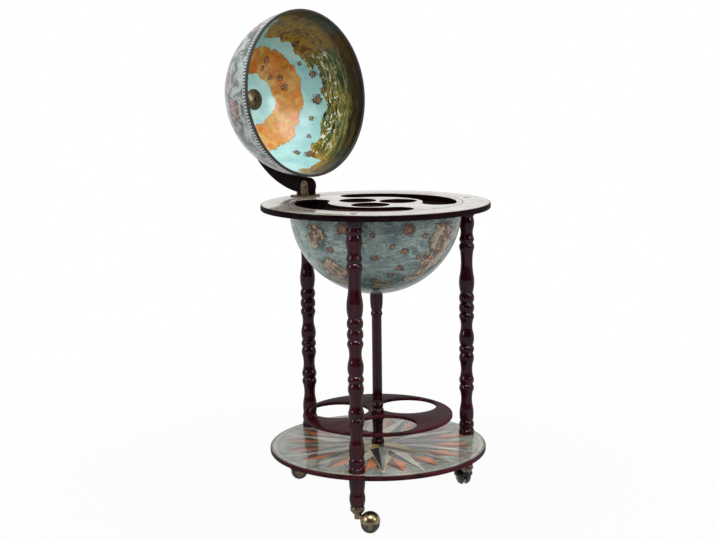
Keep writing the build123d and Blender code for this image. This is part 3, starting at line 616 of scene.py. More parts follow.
def varnished_map(name, turn, move, draw, gloss, coat):
    """A map printed on a shell and varnished; draw(tree, place) gives its colour."""
    material, tree = new_material(name)
    place = print_place(tree, turn, move)
    colour = draw(tree, place)
    fibre = noise(tree, place, 1.3, 2.0)
    dents = bumps(tree, noise(tree, place, 30.0), 0.1, 0.002)
    set_surface(tree, "BsdfPrincipled", {
        "Base Color": colour, "Roughness": fibre * 0.2 + gloss, "Specular IOR Level": 0.1,
        "Coat Weight": coat, "Coat Roughness": 0.16, "Normal": dents})
    return material


def on_sphere(radius, below, angle):
    """A place on a globe, from degrees off its pole and degrees round it."""
    flat = radius * sin(radians(below))
    return (flat * cos(radians(angle)), flat * sin(radians(angle)), radius * cos(radians(below)))


LAND_SLOPE = 0.012                              # lift that a land gains with each millimetre inwards


def patches(tree, place, spots):
    """Lifts for lands: above zero inside any of the spots (degrees off the pole, round it, radius in mm)."""
    lift = None
    for below, around_angle, size in spots:
        away = measured(tree, "DISTANCE", place, on_sphere(GLOBE_R, below, around_angle))
        here = (size - away) * LAND_SLOPE
        lift = here if lift is None else lift.most(here)
    return lift


def ornaments(tree, place, colour, spots, radius, fill, ink):
    """Adds a small painted ornament at each of the spots."""
    for below, around_angle, size in spots:
        made = use_group(tree, motif, Vector=place, Place=on_sphere(radius, below, around_angle), Size=size)
        colour = painted(
            tree, colour,
            (made["Fill"] * 0.85, fill),
            (made["Light"] * 0.6, (214, 190, 150)),
            (made["Ink"] * 0.85, ink))
    return colour


BOWL_LANDS = [
    (103, 178, 20), (108, -86, 34), (122, -92, 26), (136, -97, 22), (130, -175, 30), (146, -168, 24),
    (144, -132, 12), (102, -62, 24), (106, -30, 30), (126, -20, 26), (112, 10, 22), (108, 50, 34),
    (128, 62, 24), (104, 100, 24), (120, 132, 30), (150, 40, 26)]
BOWL_MOTIFS = [
    (98, -116, 12.0), (97, -160, 11.0), (101, -140, 5.0), (113, -118, 7.0), (109, -127, 5.5),
    (117, -139, 6.0), (107, -148, 5.0), (126, -119, 6.5), (132, -126, 5.5), (120, -156, 5.5),
    (112, -171, 6.0), (103, -104, 6.0), (118, -106, 5.5), (137, -140, 6.0), (114, -84, 7.0),
    (106, -56, 8.0), (120, 30, 8.0), (110, 90, 7.0), (130, 140, 8.0), (100, 0, 7.0), (118, -40, 6.0),
    (98, 70, 7.0), (104, 150, 7.0)]


def bowl_drawing(tree, place):
    """Grey green sea, red brown lands with dark coasts, currents, faint meridians, small ornaments and
    painted shade toward the bottom.
    """
    z = apart(tree, place)[2]
    angle = around_middle(tree, place)[1]
    level = add_node(tree, "Mapping", {"Vector": place, "Scale": (1.0, 1.0, 3.2)}).outputs[0]
    currents = (noise(tree, level, 17.0, 4.0, 1.4) - 0.5).line(0.014, 0.012)
    near_land = patches(tree, place, BOWL_LANDS)
    coast = use_group(tree, coastline, Vector=place, Size=30.0, Lift=near_land)
    smudge = noise(tree, level, 8.0, 3.0, 1.2).over(0.5, 0.08)
    meridians = add_maths(tree, "SINE", angle * radians(12)).line(0.035, 0.03)
    parallels = add_maths(tree, "SINE", z * (pi / 36)).line(0.03, 0.03)
    sea = painted(
        tree, (98, 122, 124),
        (noise(tree, place, 50.0, 4.0, 0.5).over(0.5, 0.18), (166, 187, 182)),
        (noise(tree, place, 4.5, 3.0, 1.0).over(0.6, 0.08) * 0.5, (72, 84, 78)),
        (currents * 0.8, (48, 57, 54)),
        (noise(tree, level, 26.0, 3.0, 1.0).over(0.57, 0.06) * 0.6, (196, 211, 205)),
        (near_land.line(0.1, 0.1) * smudge * 0.75, (58, 60, 46)),
        (coast["Shallows"] * 0.7, (54, 62, 58)),
        (meridians.most(parallels) * 0.3, (66, 74, 72)))
    relief = noise(tree, place, 9.0, 3.0, 0.8)
    land = painted(
        tree, (100, 64, 44),
        (relief.over(0.5, 0.1), (204, 174, 148)),
        ((relief - 0.47).line(0.025, 0.015) * 0.85, (56, 44, 34)),
        (noise(tree, place, 30.0, 3.0, 0.6).over(0.56, 0.06) * 0.6, (176, 178, 160)),
        (coast["Relief"].over(0.6, 0.05) * 0.6, (116, 108, 84)))
    colour = painted(
        tree, sea,
        (coast["Land"], land),
        (coast["Shore"] * 0.9, (38, 32, 24)),
        # painted shade: the print darkens toward the bottom of the bowl, which lies in shade
        (z.under(-120.0, 40.0) * 0.3, (48, 62, 54)))
    return ornaments(tree, place, colour, BOWL_MOTIFS, GLOBE_R, (190, 122, 72), (44, 36, 32))


bowl_print = varnished_map("bowl_print", (0, 0, 0), (0, 0, -GLOBE_MIDDLE_Z), bowl_drawing, 0.3, 0.4)
bowl_lining, lining = new_material("bowl_lining")
lining_place = print_place(lining)
lining_tone = noise(lining, lining_place, 26.0, 4.0, 0.6).over(0.5, 0.2)
set_surface(lining, "BsdfPrincipled", {
    "Base Color": painted(lining, (30, 15, 13), (lining_tone, (52, 26, 22))),
    "Roughness": lining_tone * 0.2 + 0.5, "Specular IOR Level": 0.2,
    "Normal": bumps(lining, noise(lining, lining_place, 1.4), 0.2, 0.0006)})
bowl_low, bowl_high = heights("lower_bowl")


def quarter(radius, start_angle, end_angle, steps, height=0.0):
    """Points on a circle in the outline plane, angles from the level upwards."""
    turns = [radians(start_angle + (end_angle - start_angle) * n / steps) for n in range(steps + 1)]
    return [(radius * cos(turn), height + radius * sin(turn)) for turn in turns]


def line_shell(mesh, centre):
    """Gives the inner faces of a shell the second material, its lining."""
    for face in mesh.faces:
        if (face.calc_center_median() - centre).length < (GLOBE_R - GLOBE_WALL / 2) * MM:
            face.material_index = 1


inner_r = GLOBE_R - GLOBE_WALL
flat_angle = degrees(sqrt(2 * BOWL_FLAT / GLOBE_R))
bowl_points = [
    (0, bowl_low), *quarter(GLOBE_R, -90 + flat_angle, 0, 60, ring_low),
    (GLOBE_R, bowl_high), (inner_r, bowl_high), *quarter(inner_r, 0, -90, 60, ring_low)]
bowl_mesh = turned(bowl_points, 192)
line_shell(bowl_mesh, Vector((0, 0, ring_low * MM)))
set_piece("bowl", bowl_mesh, [bowl_print, bowl_lining], "frame", ["lower_bowl"])


# ---- shelf -------------------------------------------------------------------------
# A board of red mahogany, 424 mm across, with a compass star printed on paper and
# varnished. It is held between the legs and their feet.
SHELF_BORDER_R = 207.5
FIELD_R = 138.0
STAR_ROWS = (                 # degrees from point to point, first point, tip and inner radius, colours
    (11.25, 0.0, 178.0, 150.0, (46, 44, 40), (162, 158, 140), (34, 30, 26)),
    (22.5, 11.25, 186.0, 128.0, (88, 40, 28), (192, 108, 58), (84, 30, 24)),
    (22.5, 0.0, 172.0, 104.0, (84, 78, 40), (160, 148, 92), (44, 38, 28)),
    (45.0, 22.5, 199.0, 62.0, (8, 8, 9), (180, 176, 158), (230, 228, 214)),
    (45.0, 0.0, 190.0, 48.0, (16, 18, 22), (124, 130, 122), (214, 212, 196)),
    (90.0, 0.0, 118.0, 30.0, (70, 62, 40), (170, 142, 76), (214, 206, 176)))


def star_group():
    """A star on a print: its inside, which half of each point, and its outlines."""
    tree, given, result = new_group(
        "compass_star", ["Radius", "Angle", "Step", "Turn", "Tip", "Inner"], ["Inside", "Half", "Line"])
    radius, angle, step, turn, tip, inner = (Amount(tree, socket) for socket in given[:6])
    half_step = step / 2
    folded = add_maths(tree, "FLOORED_MODULO", angle - turn + half_step, step) - half_step
    across = folded * radians(1)
    along_x = radius * add_maths(tree, "COSINE", across)
    along_y = radius * add_maths(tree, "SINE", across.maths("ABSOLUTE"))
    corner = half_step * radians(1)
    corner_x = inner * add_maths(tree, "COSINE", corner)
    corner_y = inner * add_maths(tree, "SINE", corner)
    run = corner_x - tip
    length = add_maths(tree, "SQRT", run * run + corner_y * corner_y)
    side = (corner_y * (tip - along_x) + run * along_y) / length
    join(tree, side.over(0.0, 0.35), result["Inside"])
    join(tree, folded.over(0.0, 0.15), result["Half"])
    rim = side.line(0.45, 0.3)
    spine = (radius * add_maths(tree, "SINE", across)).line(0.3, 0.3) * side.over(0.0, 0.35)
    join(tree, rim.most(spine), result["Line"])
    return tree


compass_star = star_group()


def shelf_drawing(tree, place):
    """Grey green paper with a compass star of several rows of points, a scale and fine rings."""
    radius, angle = around_middle(tree, place)
    cloud = noise(tree, place, 42.0, 5.0, 0.6)
    speck = noise(tree, place, 2.8, 3.0, 1.2)
    field = painted(tree, (92, 80, 42), (cloud.over(0.52, 0.1), (140, 130, 90)))
    colour = painted(
        tree, (88, 98, 88),
        (cloud.over(0.5, 0.22), (150, 160, 147)),
        (speck.over(0.58, 0.06) * 0.6, (66, 62, 52)),
        (noise(tree, place, 26.0, 3.0, 0.8).over(0.56, 0.08) * 0.5, (170, 142, 126)),
        (radius.under(FIELD_R, 0.6) * 0.85, field),
        ((radius - FIELD_R).line(0.9, 0.4), (206, 198, 164)))
    for step, turn, tip, inner, dark, light, lines in STAR_ROWS:
        star = use_group(
            tree, compass_star, Radius=radius, Angle=angle, Step=step, Turn=turn, Tip=tip, Inner=inner)
        point = painted(
            tree, dark, (star["Half"], light), (speck.over(0.56, 0.08) * 0.35, (118, 108, 84)))
        colour = painted(tree, colour, (star["Inside"], point), (star["Line"] * 0.8, lines))
    scale = use_group(tree, scale_band, Across=radius - 196.0, Along=angle * 3.4, Width=4.5, Block=5.0)
    return painted(
        tree, colour,
        (scale["Ink"] * 0.35, (74, 68, 56)),
        ((radius - 202.5).line(0.6, 0.3) * 0.8, (206, 204, 190)),
        (radius.over(SHELF_BORDER_R, 0.4), (60, 20, 22)))


shelf_print = printed_board("shelf_print", shelf_drawing, 0.5)
shelf_low, shelf_high = heights("shelf_board")
shelf_r = reach("shelf_board")
sag = RING_ROUND * (1 - sqrt(0.5))
shelf_mesh = turned(outline(
    (0, shelf_low), (shelf_r - RING_ROUND, shelf_low, 0), (shelf_r, shelf_low + RING_ROUND, sag),
    (shelf_r, shelf_high - RING_ROUND, 0), (shelf_r - RING_ROUND, shelf_high, sag),
    (0, shelf_high, 0)), 192)
print_top(shelf_mesh)
set_piece("shelf", shelf_mesh, [red_mahogany_across, shelf_print], "frame", ["shelf_board"])


# ---- legs --------------------------------------------------------------------------
# Three legs of turned and lacquered mahogany, with beads between their swelling
# shafts. Each is bolted up to the ring, and screwed through the shelf to its foot.
mahogany_along = mahogany_material("mahogany_along", (28, 5, 11), (60, 12, 23), 0.4)
LEG_R = 15.3


def stepped(start, steps):
    """An outline from (rise, end radius, bulge) steps, closed to the axis at both ends."""
    radius, height = start
    stretches = []
    for rise, radius, bulge in steps:
        height += rise
        stretches.append((radius, height, bulge))
    return outline((0, start[1]), (start[0], start[1], 0), *stretches, (0, height, 0))


def placed(mesh, place):
    """Moves a mesh by a vector, or by a matrix that also turns it."""
    matrix = place if isinstance(place, Matrix) else Matrix.Translation(place)
    bmesh.ops.transform(mesh, verts=mesh.verts, matrix=matrix)
    return mesh


LEG_BELOW = [
    (8.5, LEG_R, 0), (5.5, 13.6, -0.6), (13.5, 12.4, 1.9), (2.5, 13.4, 0), (26.0, 13.0, 1.0),
    (33.0, 13.0, -2.0), (13.5, 12.4, 2.1), (2.5, 13.0, 0), (13.0, 13.3, 1.6), (31.0, 13.3, -1.9),
    (18.5, 12.2, 2.0), (14.5, 12.2, 2.8), (27.0, 13.2, 2.2), (25.5, 13.2, -1.8), (14.0, 12.2, 2.2),
    (20.0, 12.2, 2.9), (20.0, 12.2, 2.9), (38.0, 13.4, 2.4)]
LEG_ABOVE = [
    (15.0, 12.4, 2.2), (2.0, 12.8, 0), (10.0, 13.2, 1.6), (17.0, 13.2, -1.1), (22.0, 12.8, 1.8),
    (13.0, 13.0, 1.9), (5.0, LEG_R, -0.5), (9.0, LEG_R, 0)]
leg_waist = ring_low - shelf_high - sum(step[0] for step in LEG_BELOW + LEG_ABOVE)
LEG_STEPS = LEG_BELOW + [(leg_waist, 13.3, -1.8)] + LEG_ABOVE
for name, angle in LEG_ANGLES.items():
    leg_mesh = placed(turned(stepped((LEG_R, shelf_high), LEG_STEPS), 64), polar(LEG_PITCH_R, angle))
    leg = set_piece(f"turned_leg_{name}", leg_mesh, [mahogany_along], "frame", [f"leg_{name}"])
    glinting.objects.link(leg)


# ---- feet --------------------------------------------------------------------------
# Short turned feet of the same mahogany, screwed to the legs from under the shelf.
# Each ends in a spigot that stands in a brass cup.
SPIGOT_R = 11.0
foot_low, foot_high = heights("foot_left")
ferrule_top = heights("caster_ferrule_left")[1]
FOOT_STEPS = [
    (ferrule_top - foot_low, SPIGOT_R, 0), (0, 11.6, 0), (4.5, 13.4, 0.5), (20.0, 13.6, 1.4),
    (9.0, 14.0, -0.5)]
foot_shaft = foot_high - foot_low - sum(step[0] for step in FOOT_STEPS)
for name, angle in LEG_ANGLES.items():
    steps = FOOT_STEPS + [(foot_shaft, LEG_R, 0.3)]
    foot_mesh = placed(turned(stepped((SPIGOT_R, foot_low), steps), 64), polar(LEG_PITCH_R, angle))
    foot = set_piece(
        f"turned_foot_{name}", foot_mesh, [mahogany_along], "frame", [f"foot_{name}"])
    glinting.objects.link(foot)


# ---- bottle plate and centre post --------------------------------------------------
# A lacquered plate with three bottle holes, clamped between two lengths of a turned post
# that runs from the shelf to the bottom of the bowl.
PLATE_HOLE_R = 58.5
PLATE_HOLE_PITCH_R = 80.0
PLATE_TURN = 24.0
POST_R = 12.4
plate_low, plate_high = heights("bottle_plate")
plate_mesh = bmesh.new()
drawn_hole(plate_mesh, reach("bottle_plate"), (0, 0, 0), 160)
for angle in LEG_ANGLES.values():
    drawn_hole(plate_mesh, PLATE_HOLE_R, polar(PLATE_HOLE_PITCH_R, angle + PLATE_TURN), 96)
board(plate_mesh, plate_low, plate_high, 1.6)
set_piece("bottle_plate", plate_mesh, [red_mahogany_across], "frame", ["bottle_plate"])

post_base = [(7.0, POST_R, 0), (5.0, 10.4, -0.6), (9.0, 10.0, 1.4), (14.0, 9.6, -0.3)]
post_head = [(10.0, 10.0, 1.6), (6.0, 11.2, -0.6), (26.0, POST_R, 0.5), (5.0, POST_R, 0)]
post_shaft = bowl_low - plate_high - sum(step[0] for step in post_base + post_head)
post_steps = post_base + [(post_shaft, 9.6, 0)] + post_head
post_mesh = turned(stepped((POST_R, plate_high), post_steps), 48)
post = set_piece("turned_post", post_mesh, [mahogany_along], "frame", ["centre_post"])
glinting.objects.link(post)

base_steps = [
    (7.0, POST_R, 0), (5.0, 10.4, -0.6), (plate_low - shelf_high - 24.0, 10.4, -0.8),
    (6.0, POST_R, -0.6), (6.0, POST_R, 0)]
base_mesh = turned(stepped((POST_R, shelf_high), base_steps), 48)
set_piece("turned_post_foot", base_mesh, [mahogany_along], "frame", ["post_foot"])


# ---- leg bolts ---------------------------------------------------------------------
# Flat headed bolts of aged, lacquered brass. They are sunk flush in the ring, and
# each pulls a leg up against it.
def brass_material(name, light, dark, gloss):
    """Aged lacquered brass, darker in clouds."""
    material, tree = new_material(name)
    place = add_node(tree, "TexCoord").outputs["Object"]
    clouds = noise(tree, place, 1 / 130, 4.0)
    fine = noise(tree, place, 1 / 900, 2.0)
    set_surface(tree, "BsdfPrincipled", {
        "Base Color": painted(tree, dark, (clouds.over(0.5, 0.35), light)), "Metallic": 1.0,
        "Roughness": fine * 0.1 + clouds * 0.12 + gloss})
    return material


old_brass = brass_material("old_brass", (122, 106, 80), (58, 50, 38), 0.2)
BOLT_HEAD_R = 7.6
BOLT_HEAD_HEIGHT = 3.0
BOLT_R = 3.0
bolt_low, bolt_high = heights("leg_bolts")
for name, angle in LEG_ANGLES.items():
    bolt_mesh = placed(turned(outline(
        (0, bolt_low), (BOLT_R, bolt_low, 0), (BOLT_R, bolt_high - BOLT_HEAD_HEIGHT, 0),
        (BOLT_HEAD_R, bolt_high - BOLT_HEAD_HEIGHT, 0), (BOLT_HEAD_R, bolt_high - 0.5, 0),
        (BOLT_HEAD_R - 0.5, bolt_high, 0.1), (0, bolt_high, 0)), 48), polar(LEG_PITCH_R, angle))
    set_piece(f"leg_bolt_{name}", bolt_mesh, [old_brass], "frame", ["leg_bolts"])


# ---- hinge -------------------------------------------------------------------------
# A brass plate screwed to the ring with two ears for the pin, and a stop at its outer end
# that the open arm rests on.
PIVOT = (0.0, 181.0, 613.5)
PLATE_MIDDLE_Y = 189.5
PLATE_HALF_X, PLATE_HALF_Y, PLATE_CORNER = 25.0, 19.5, 4.0
HINGE_PLATE_TOP = 593.5
EAR_INSIDE, EAR_THICKNESS, EAR_R = 8.4, 3.0, 10.0
STOP_HALF, STOP_LENGTH, STOP_TOP = 6.0, 5.0, 597.5
SCREW_INSET = 5.5
SCREW_HEAD_R = 3.4


def joined(meshes):
    """Several meshes in one."""
    whole = meshes[0]
    for mesh in meshes[1:]:
        data = bpy.data.meshes.new("part")
        mesh.to_mesh(data)
        whole.from_mesh(data)
        bpy.data.meshes.remove(data)
        mesh.free()
    return whole


def sharp_box(low, high, rounding):
    """A block between two corners in millimetres, its edges rounded."""
    mesh = bmesh.new()
    bmesh.ops.create_cube(mesh, size=1.0)
    size = (Vector(high) - Vector(low)) * MM
    bmesh.ops.scale(mesh, verts=mesh.verts, vec=size)
    bmesh.ops.translate(mesh, verts=mesh.verts, vec=(Vector(high) + Vector(low)) * MM / 2)
    bmesh.ops.bevel(
        mesh, geom=mesh.edges[:], offset=rounding * MM, segments=3, profile=0.5, affect="EDGES", material=-1)
    return mesh


plate_middle = Vector((0, PLATE_MIDDLE_Y, 0)) * MM
hinge_plate = bmesh.new()
corner_x, corner_y = PLATE_HALF_X - PLATE_CORNER, PLATE_HALF_Y - PLATE_CORNER
first_corner = corner = hinge_plate.verts.new(plate_middle + Vector((PLATE_HALF_X, -corner_y, 0)) * MM)
for sign_x, sign_y in ((1, 1), (-1, 1), (-1, -1), (1, -1)):
    centre = plate_middle + Vector((sign_x * corner_x, sign_y * corner_y, 0)) * MM
    start = Vector((PLATE_CORNER, 0)) if sign_x * sign_y > 0 else Vector((0, PLATE_CORNER))
    start = centre + Vector((start.x * sign_x, start.y * sign_y, 0)) * MM
    begin = hinge_plate.verts.new(start)
    hinge_plate.edges.new((corner, begin))
    corner = swept(hinge_plate, begin, centre, 90, 8)
hinge_plate.edges.new((corner, first_corner))
screw_x, screw_y = PLATE_HALF_X - SCREW_INSET, PLATE_HALF_Y - SCREW_INSET
SCREW_PLACES = [
    plate_middle + Vector((side * screw_x, end * screw_y, 0)) * MM for side in (-1, 1) for end in (-1, 1)]
for place in SCREW_PLACES:
    drawn_hole(hinge_plate, SCREW_HEAD_R + 0.2, place, 32)
board(hinge_plate, ring_high, HINGE_PLATE_TOP, 0.4)

# A board drawn flat in X and Y and raised in Z comes to stand in Y and Z, its thickness along X.
FLAT_TO_UPRIGHT = Matrix(((0, 0, 1, 0), (1, 0, 0, 0), (0, 1, 0, 0), (0, 0, 0, 1)))
ears = []
for low_x in (EAR_INSIDE, -EAR_INSIDE - EAR_THICKNESS):
    ear = bmesh.new()
    pivot_y, pivot_z = PIVOT[1] * MM, PIVOT[2] * MM
    foot_corner = ear.verts.new((pivot_y + EAR_R * MM, HINGE_PLATE_TOP * MM - MM, 0))
    side_corner = ear.verts.new((pivot_y + EAR_R * MM, pivot_z, 0))
    ear.edges.new((foot_corner, side_corner))
    corner = swept(ear, side_corner, (pivot_y, pivot_z, 0), 180, 24)
    far_corner = ear.verts.new((pivot_y - EAR_R * MM, HINGE_PLATE_TOP * MM - MM, 0))
    ear.edges.new((corner, far_corner))
    ear.edges.new((far_corner, foot_corner))
    board(ear, low_x, low_x + EAR_THICKNESS, 0.5)
    placed(ear, FLAT_TO_UPRIGHT)
    ears.append(ear)
stop_end = PLATE_MIDDLE_Y + PLATE_HALF_Y
stop = sharp_box((-STOP_HALF, stop_end - STOP_LENGTH, ring_high + 0.2), (STOP_HALF, stop_end, STOP_TOP), 0.5)
hinge_mesh = joined([hinge_plate, *ears, stop])
set_piece("hinge", hinge_mesh, [old_brass], "frame", ["hinge_bracket"])

PIN_R, PIN_HEAD_R, PIN_HEAD = 4.0, 6.0, 2.0
pin_half = EAR_INSIDE + EAR_THICKNESS
pin_end = pin_half + PIN_HEAD
pin_mesh = turned(outline(
    (0, -pin_end), (PIN_HEAD_R - 1.2, -pin_end, 0.2), (PIN_HEAD_R, -pin_half - 0.8, 0.3),
    (PIN_HEAD_R, -pin_half, 0), (PIN_R, -pin_half, 0), (PIN_R, pin_half, 0), (PIN_HEAD_R, pin_half, 0),
    (PIN_HEAD_R, pin_half + 0.8, 0), (PIN_HEAD_R - 1.2, pin_end, 0.3), (0, pin_end, 0.2)), 48)
pin_place = Matrix.Translation(Vector(PIVOT) * MM) @ Matrix.Rotation(radians(90), 4, "Y")
placed(pin_mesh, pin_place)
set_piece("hinge_pin_turned", pin_mesh, [old_brass], "frame", ["hinge_pin"])

screw_low, screw_high = heights("hinge_screws")
screws = []
for place in SCREW_PLACES:
    screw = turned(outline(
        (0, screw_low), (1.8, screw_low, 0), (1.8, screw_high - 1.6, 0), (SCREW_HEAD_R, screw_high - 1.6, 0),
        (SCREW_HEAD_R, screw_high - 0.4, 0), (SCREW_HEAD_R - 0.4, screw_high, 0.1), (0, screw_high, 0)), 32)
    screws.append(placed(screw, place))
set_piece("hinge_screw_set", joined(screws), [old_brass], "frame", ["hinge_screws"])


# ---- lid shell ---------------------------------------------------------------------
# The upper half globe stands open on its hinge. It is made shut, with its pole up, and
# then turned open; the map is varnished outside and inside.
LID_OPEN = 95.2
LID_CENTRE = (0.0, 0.175395, 0.795758)
EDGE_HEIGHT = 3.0
lid_place = Matrix.Translation(LID_CENTRE) @ Matrix.Rotation(radians(-LID_OPEN), 4, "X")
lid_from = lid_place.inverted().translation / MM
LID_LANDS = [
    (74, -122, 20), (66, -108, 19), (79, -150, 15), (62, -165, 22), (38, -135, 24), (70, 170, 20),
    (40, 150, 30), (68, 120, 26), (24, -40, 30), (60, 70, 30), (44, 30, 24), (72, 20, 24), (64, -40, 30),
    (76, -75, 18)]


def lid_outside_drawing(tree, place):
    """Pale grey blue sea and dull pink lands, and a chequered scale along the mouth."""
    z = apart(tree, place)[2]
    angle = around_middle(tree, place)[1]
    coast = use_group(tree, coastline, Vector=place, Size=44.0, Lift=patches(tree, place, LID_LANDS))
    meridians = add_maths(tree, "SINE", angle * radians(12)).line(0.035, 0.03)
    sea = painted(
        tree, (92, 100, 98),
        (noise(tree, place, 34.0, 5.0, 1.0).over(0.5, 0.12), (196, 208, 206)),
        ((noise(tree, place, 21.0, 4.0, 1.6) - 0.5).line(0.014, 0.012) * 0.75, (62, 62, 60)),
        ((noise(tree, place, 8.0, 3.0, 1.4) - 0.5).line(0.02, 0.02) * 0.35, (76, 76, 76)),
        (coast["Shallows"] * 0.5, (104, 108, 106)),
        (meridians * 0.25, (90, 96, 96)))
    land = painted(tree, (106, 72, 72), (coast["Relief"].over(0.5, 0.15), (188, 160, 152)))
    scale = use_group(tree, scale_band, Across=z - 7.4, Along=angle * 2.88, Width=6.2, Block=3.2)
    return painted(
        tree, sea,
        (coast["Land"], land),
        (coast["Shore"] * 0.9, (44, 34, 36)),
        (z.under(12.0, 0.3), (208, 212, 208)),
        (scale["Ink"] * 0.95, (20, 22, 26)),
        (z.under(4.2, 0.3), (20, 20, 22)))


LID_MOTIFS = [
    (31, -73, 6.5), (24, -73, 5.0), (22, -47, 5.5), (28, -33, 6.5), (28, -17, 7.5), (53, -56, 8.0),
    (46, -36, 4.5), (52, -21, 7.0), (51, 4, 10.0), (48, 23, 5.0), (51, 42, 5.0), (56, -4, 6.0),
    (52, 66, 6.0), (60, 60, 9.0), (33, 120, 7.0), (30, 180, 7.0), (50, 140, 6.0), (48, -130, 6.0),
    (31, -120, 6.0)]


def toward(x, y, radius, angle):
    """How far a place lies toward a direction about the pole: 1 straight that way, -1 straight away."""
    return (x * cos(radians(angle)) + y * sin(radians(angle))) / radius


def lid_inside_drawing(tree, place):
    """A pale sea at the pole, an ochre land round it, a blue sea and dark streaked lands beyond, with painted
    highlights, painted light and painted shade over them.
    """
    x, y, z = apart(tree, place)
    radius, angle = around_middle(tree, place)
    below = add_maths(tree, "ARCTAN2", radius, z) * degrees(1)
    toward_top, toward_right, toward_bottom = (toward(x, y, radius, way) for way in (-62, 10, 60))
    inner_land = (10.9 - (below - 29.4).maths("ABSOLUTE")) * 0.075
    top_land = ((below - 49.5) * 0.075).least((toward_top - 0.84) * 5)
    right_land = ((below - 57.0) * 0.075).least((toward_right - 0.6) * 5)
    rim_land = (below - 71.0) * 0.06
    lands = inner_land.most(top_land).most(right_land).most(rim_land)
    coast = use_group(tree, coastline, Vector=place, Size=24.0, Lift=lands)
    sea = painted(
        tree, (150, 200, 202),
        (noise(tree, place, 48.0, 4.0, 0.4).over(0.5, 0.2), (186, 226, 222)),
        (coast["Shallows"] * 0.3, (132, 176, 160)),
        (noise(tree, place, 7.0, 3.0, 1.0).over(0.66, 0.04) * 0.4, (104, 146, 120)))
    ochre = painted(
        tree, (188, 100, 14),
        (noise(tree, place, 12.0, 5.0, 0.6).over(0.5, 0.16), (222, 144, 44)),
        ((10.0 - (below - 31.0).maths("ABSOLUTE")).over(7.0, 5.0) * 0.35, (222, 180, 96)),
        # Painted light and shade: the ochre is lightened toward the lower side, which the lamps light, and
        # darkened toward the upper side, which lies in shade.
        (toward_bottom.over(0.4, 0.6) * 0.35, (226, 180, 124)),
        (toward_top.over(0.5, 0.5) * 0.35, (132, 82, 26)),
        (noise(tree, place, 24.0, 2.0).over(0.55, 0.09) * 0.5, (216, 190, 112)),
        (noise(tree, place, 17.0, 2.0, 0.6).over(0.6, 0.07) * 0.5, (226, 104, 56)),
        (noise(tree, place, 6.0, 3.0, 1.0).over(0.62, 0.07) * 0.4, (150, 80, 30)))
    brown = painted(
        tree, (122, 92, 26),
        (coast["Relief"].over(0.5, 0.16), (194, 152, 54)),
        (noise(tree, place, 20.0, 4.0, 1.0).over(0.56, 0.08) * 0.75, (92, 50, 38)))
    along = add_node(tree, "CombineXYZ", {0: below * 0.24, 1: angle * 0.04, 2: 0.0}).outputs[0]
    streak = noise(tree, along, 1.0, 4.0, 1.6)
    crest = (streak - 0.565).line(0.028, 0.02)
    ribbon = noise(tree, along, 0.55, 3.0, 1.2)
    # The white strokes laid over the crests and ribbons of the streaked lands, nearer the pole, are painted
    # highlights: stretched reflections of the room in the varnished hollow, drawn into the print.
    highlight_strokes = noise(tree, place, 15.0, 4.0, 1.4).over(0.55, 0.05) * below.under(70.0, 5.0)
    streaks = painted(
        tree, (22, 30, 10),
        (streak.over(0.48, 0.08), (120, 106, 36)),
        (ribbon.over(0.57, 0.04) * 0.75, (18, 24, 12)),
        ((streak - 0.43).line(0.03, 0.02) * 0.7, (104, 124, 72)),
        (crest * 0.55, (206, 196, 120)),
        (crest * highlight_strokes, (246, 246, 228)),
        (ribbon.under(0.45, 0.03) * highlight_strokes * 0.9, (224, 236, 220)))
    far = painted(tree, brown, (toward_right.over(0.68, 0.1), streaks))
    land = painted(tree, ochre, (below.over(45.0, 0.5), far))
    colour = painted(tree, sea, (coast["Land"], land), (coast["Shore"] * 0.6, (130, 74, 30)))
    colour = ornaments(tree, place, colour, LID_MOTIFS, GLOBE_R - GLOBE_WALL, (150, 86, 34), (40, 22, 12))
    # Painted shade: past 77 degrees off the pole the inside is darkened toward the top and the right, where
    # the rim shades it, and past 86 degrees it is darkened to near black all round along the edge.
    painted_shade_side = (toward_right.most(toward_top) + 0.35).over(0.5, 0.5)
    return painted(
        tree, colour,
        (below.over(77.0, 4.0) * painted_shade_side * 0.85, (34, 32, 22)),
        (below.over(86.0, 1.2), (20, 18, 16)))


lid_outside = varnished_map("lid_outside", (LID_OPEN, 0, 0), lid_from, lid_outside_drawing, 0.3, 0.5)
lid_inside = varnished_map("lid_inside", (LID_OPEN, 0, 0), lid_from, lid_inside_drawing, 0.3, 0.65)


def set_lid_piece(name, mesh, materials, body, node):
    """Sets a piece, built round the lid's centre with the pole up, in its open place."""
    placed(mesh, lid_place)
    return set_piece(name, mesh, materials, body, [node])


edge_outside, edge_inside = (degrees(EDGE_HEIGHT / radius) for radius in (GLOBE_R, inner_r))
lid_points = quarter(GLOBE_R, 90, edge_outside, 60) + quarter(inner_r, edge_inside, 90, 60)
lid_mesh = turned(lid_points, 192)
line_shell(lid_mesh, Vector())
set_lid_piece("lid", lid_mesh, [lid_outside, lid_inside], "lid", "lid_shell")


# ---- lid edging --------------------------------------------------------------------
# A ring of glossy black plastic, a little wider than the shell is thick, that closes
# the shell's cut edge and turns with it.
def black_material(name, roughness):
    """Glossy black plastic."""
    material, tree = new_material(name)
    place = add_node(tree, "TexCoord").outputs["Object"]
    fine = noise(tree, place, 1 / 400)
    colour = painted(tree, (14, 13, 13), (fine, (24, 22, 21)))
    set_surface(tree, "BsdfPrincipled", {"Base Color": colour, "Roughness": fine * 0.12 + roughness})
    return material


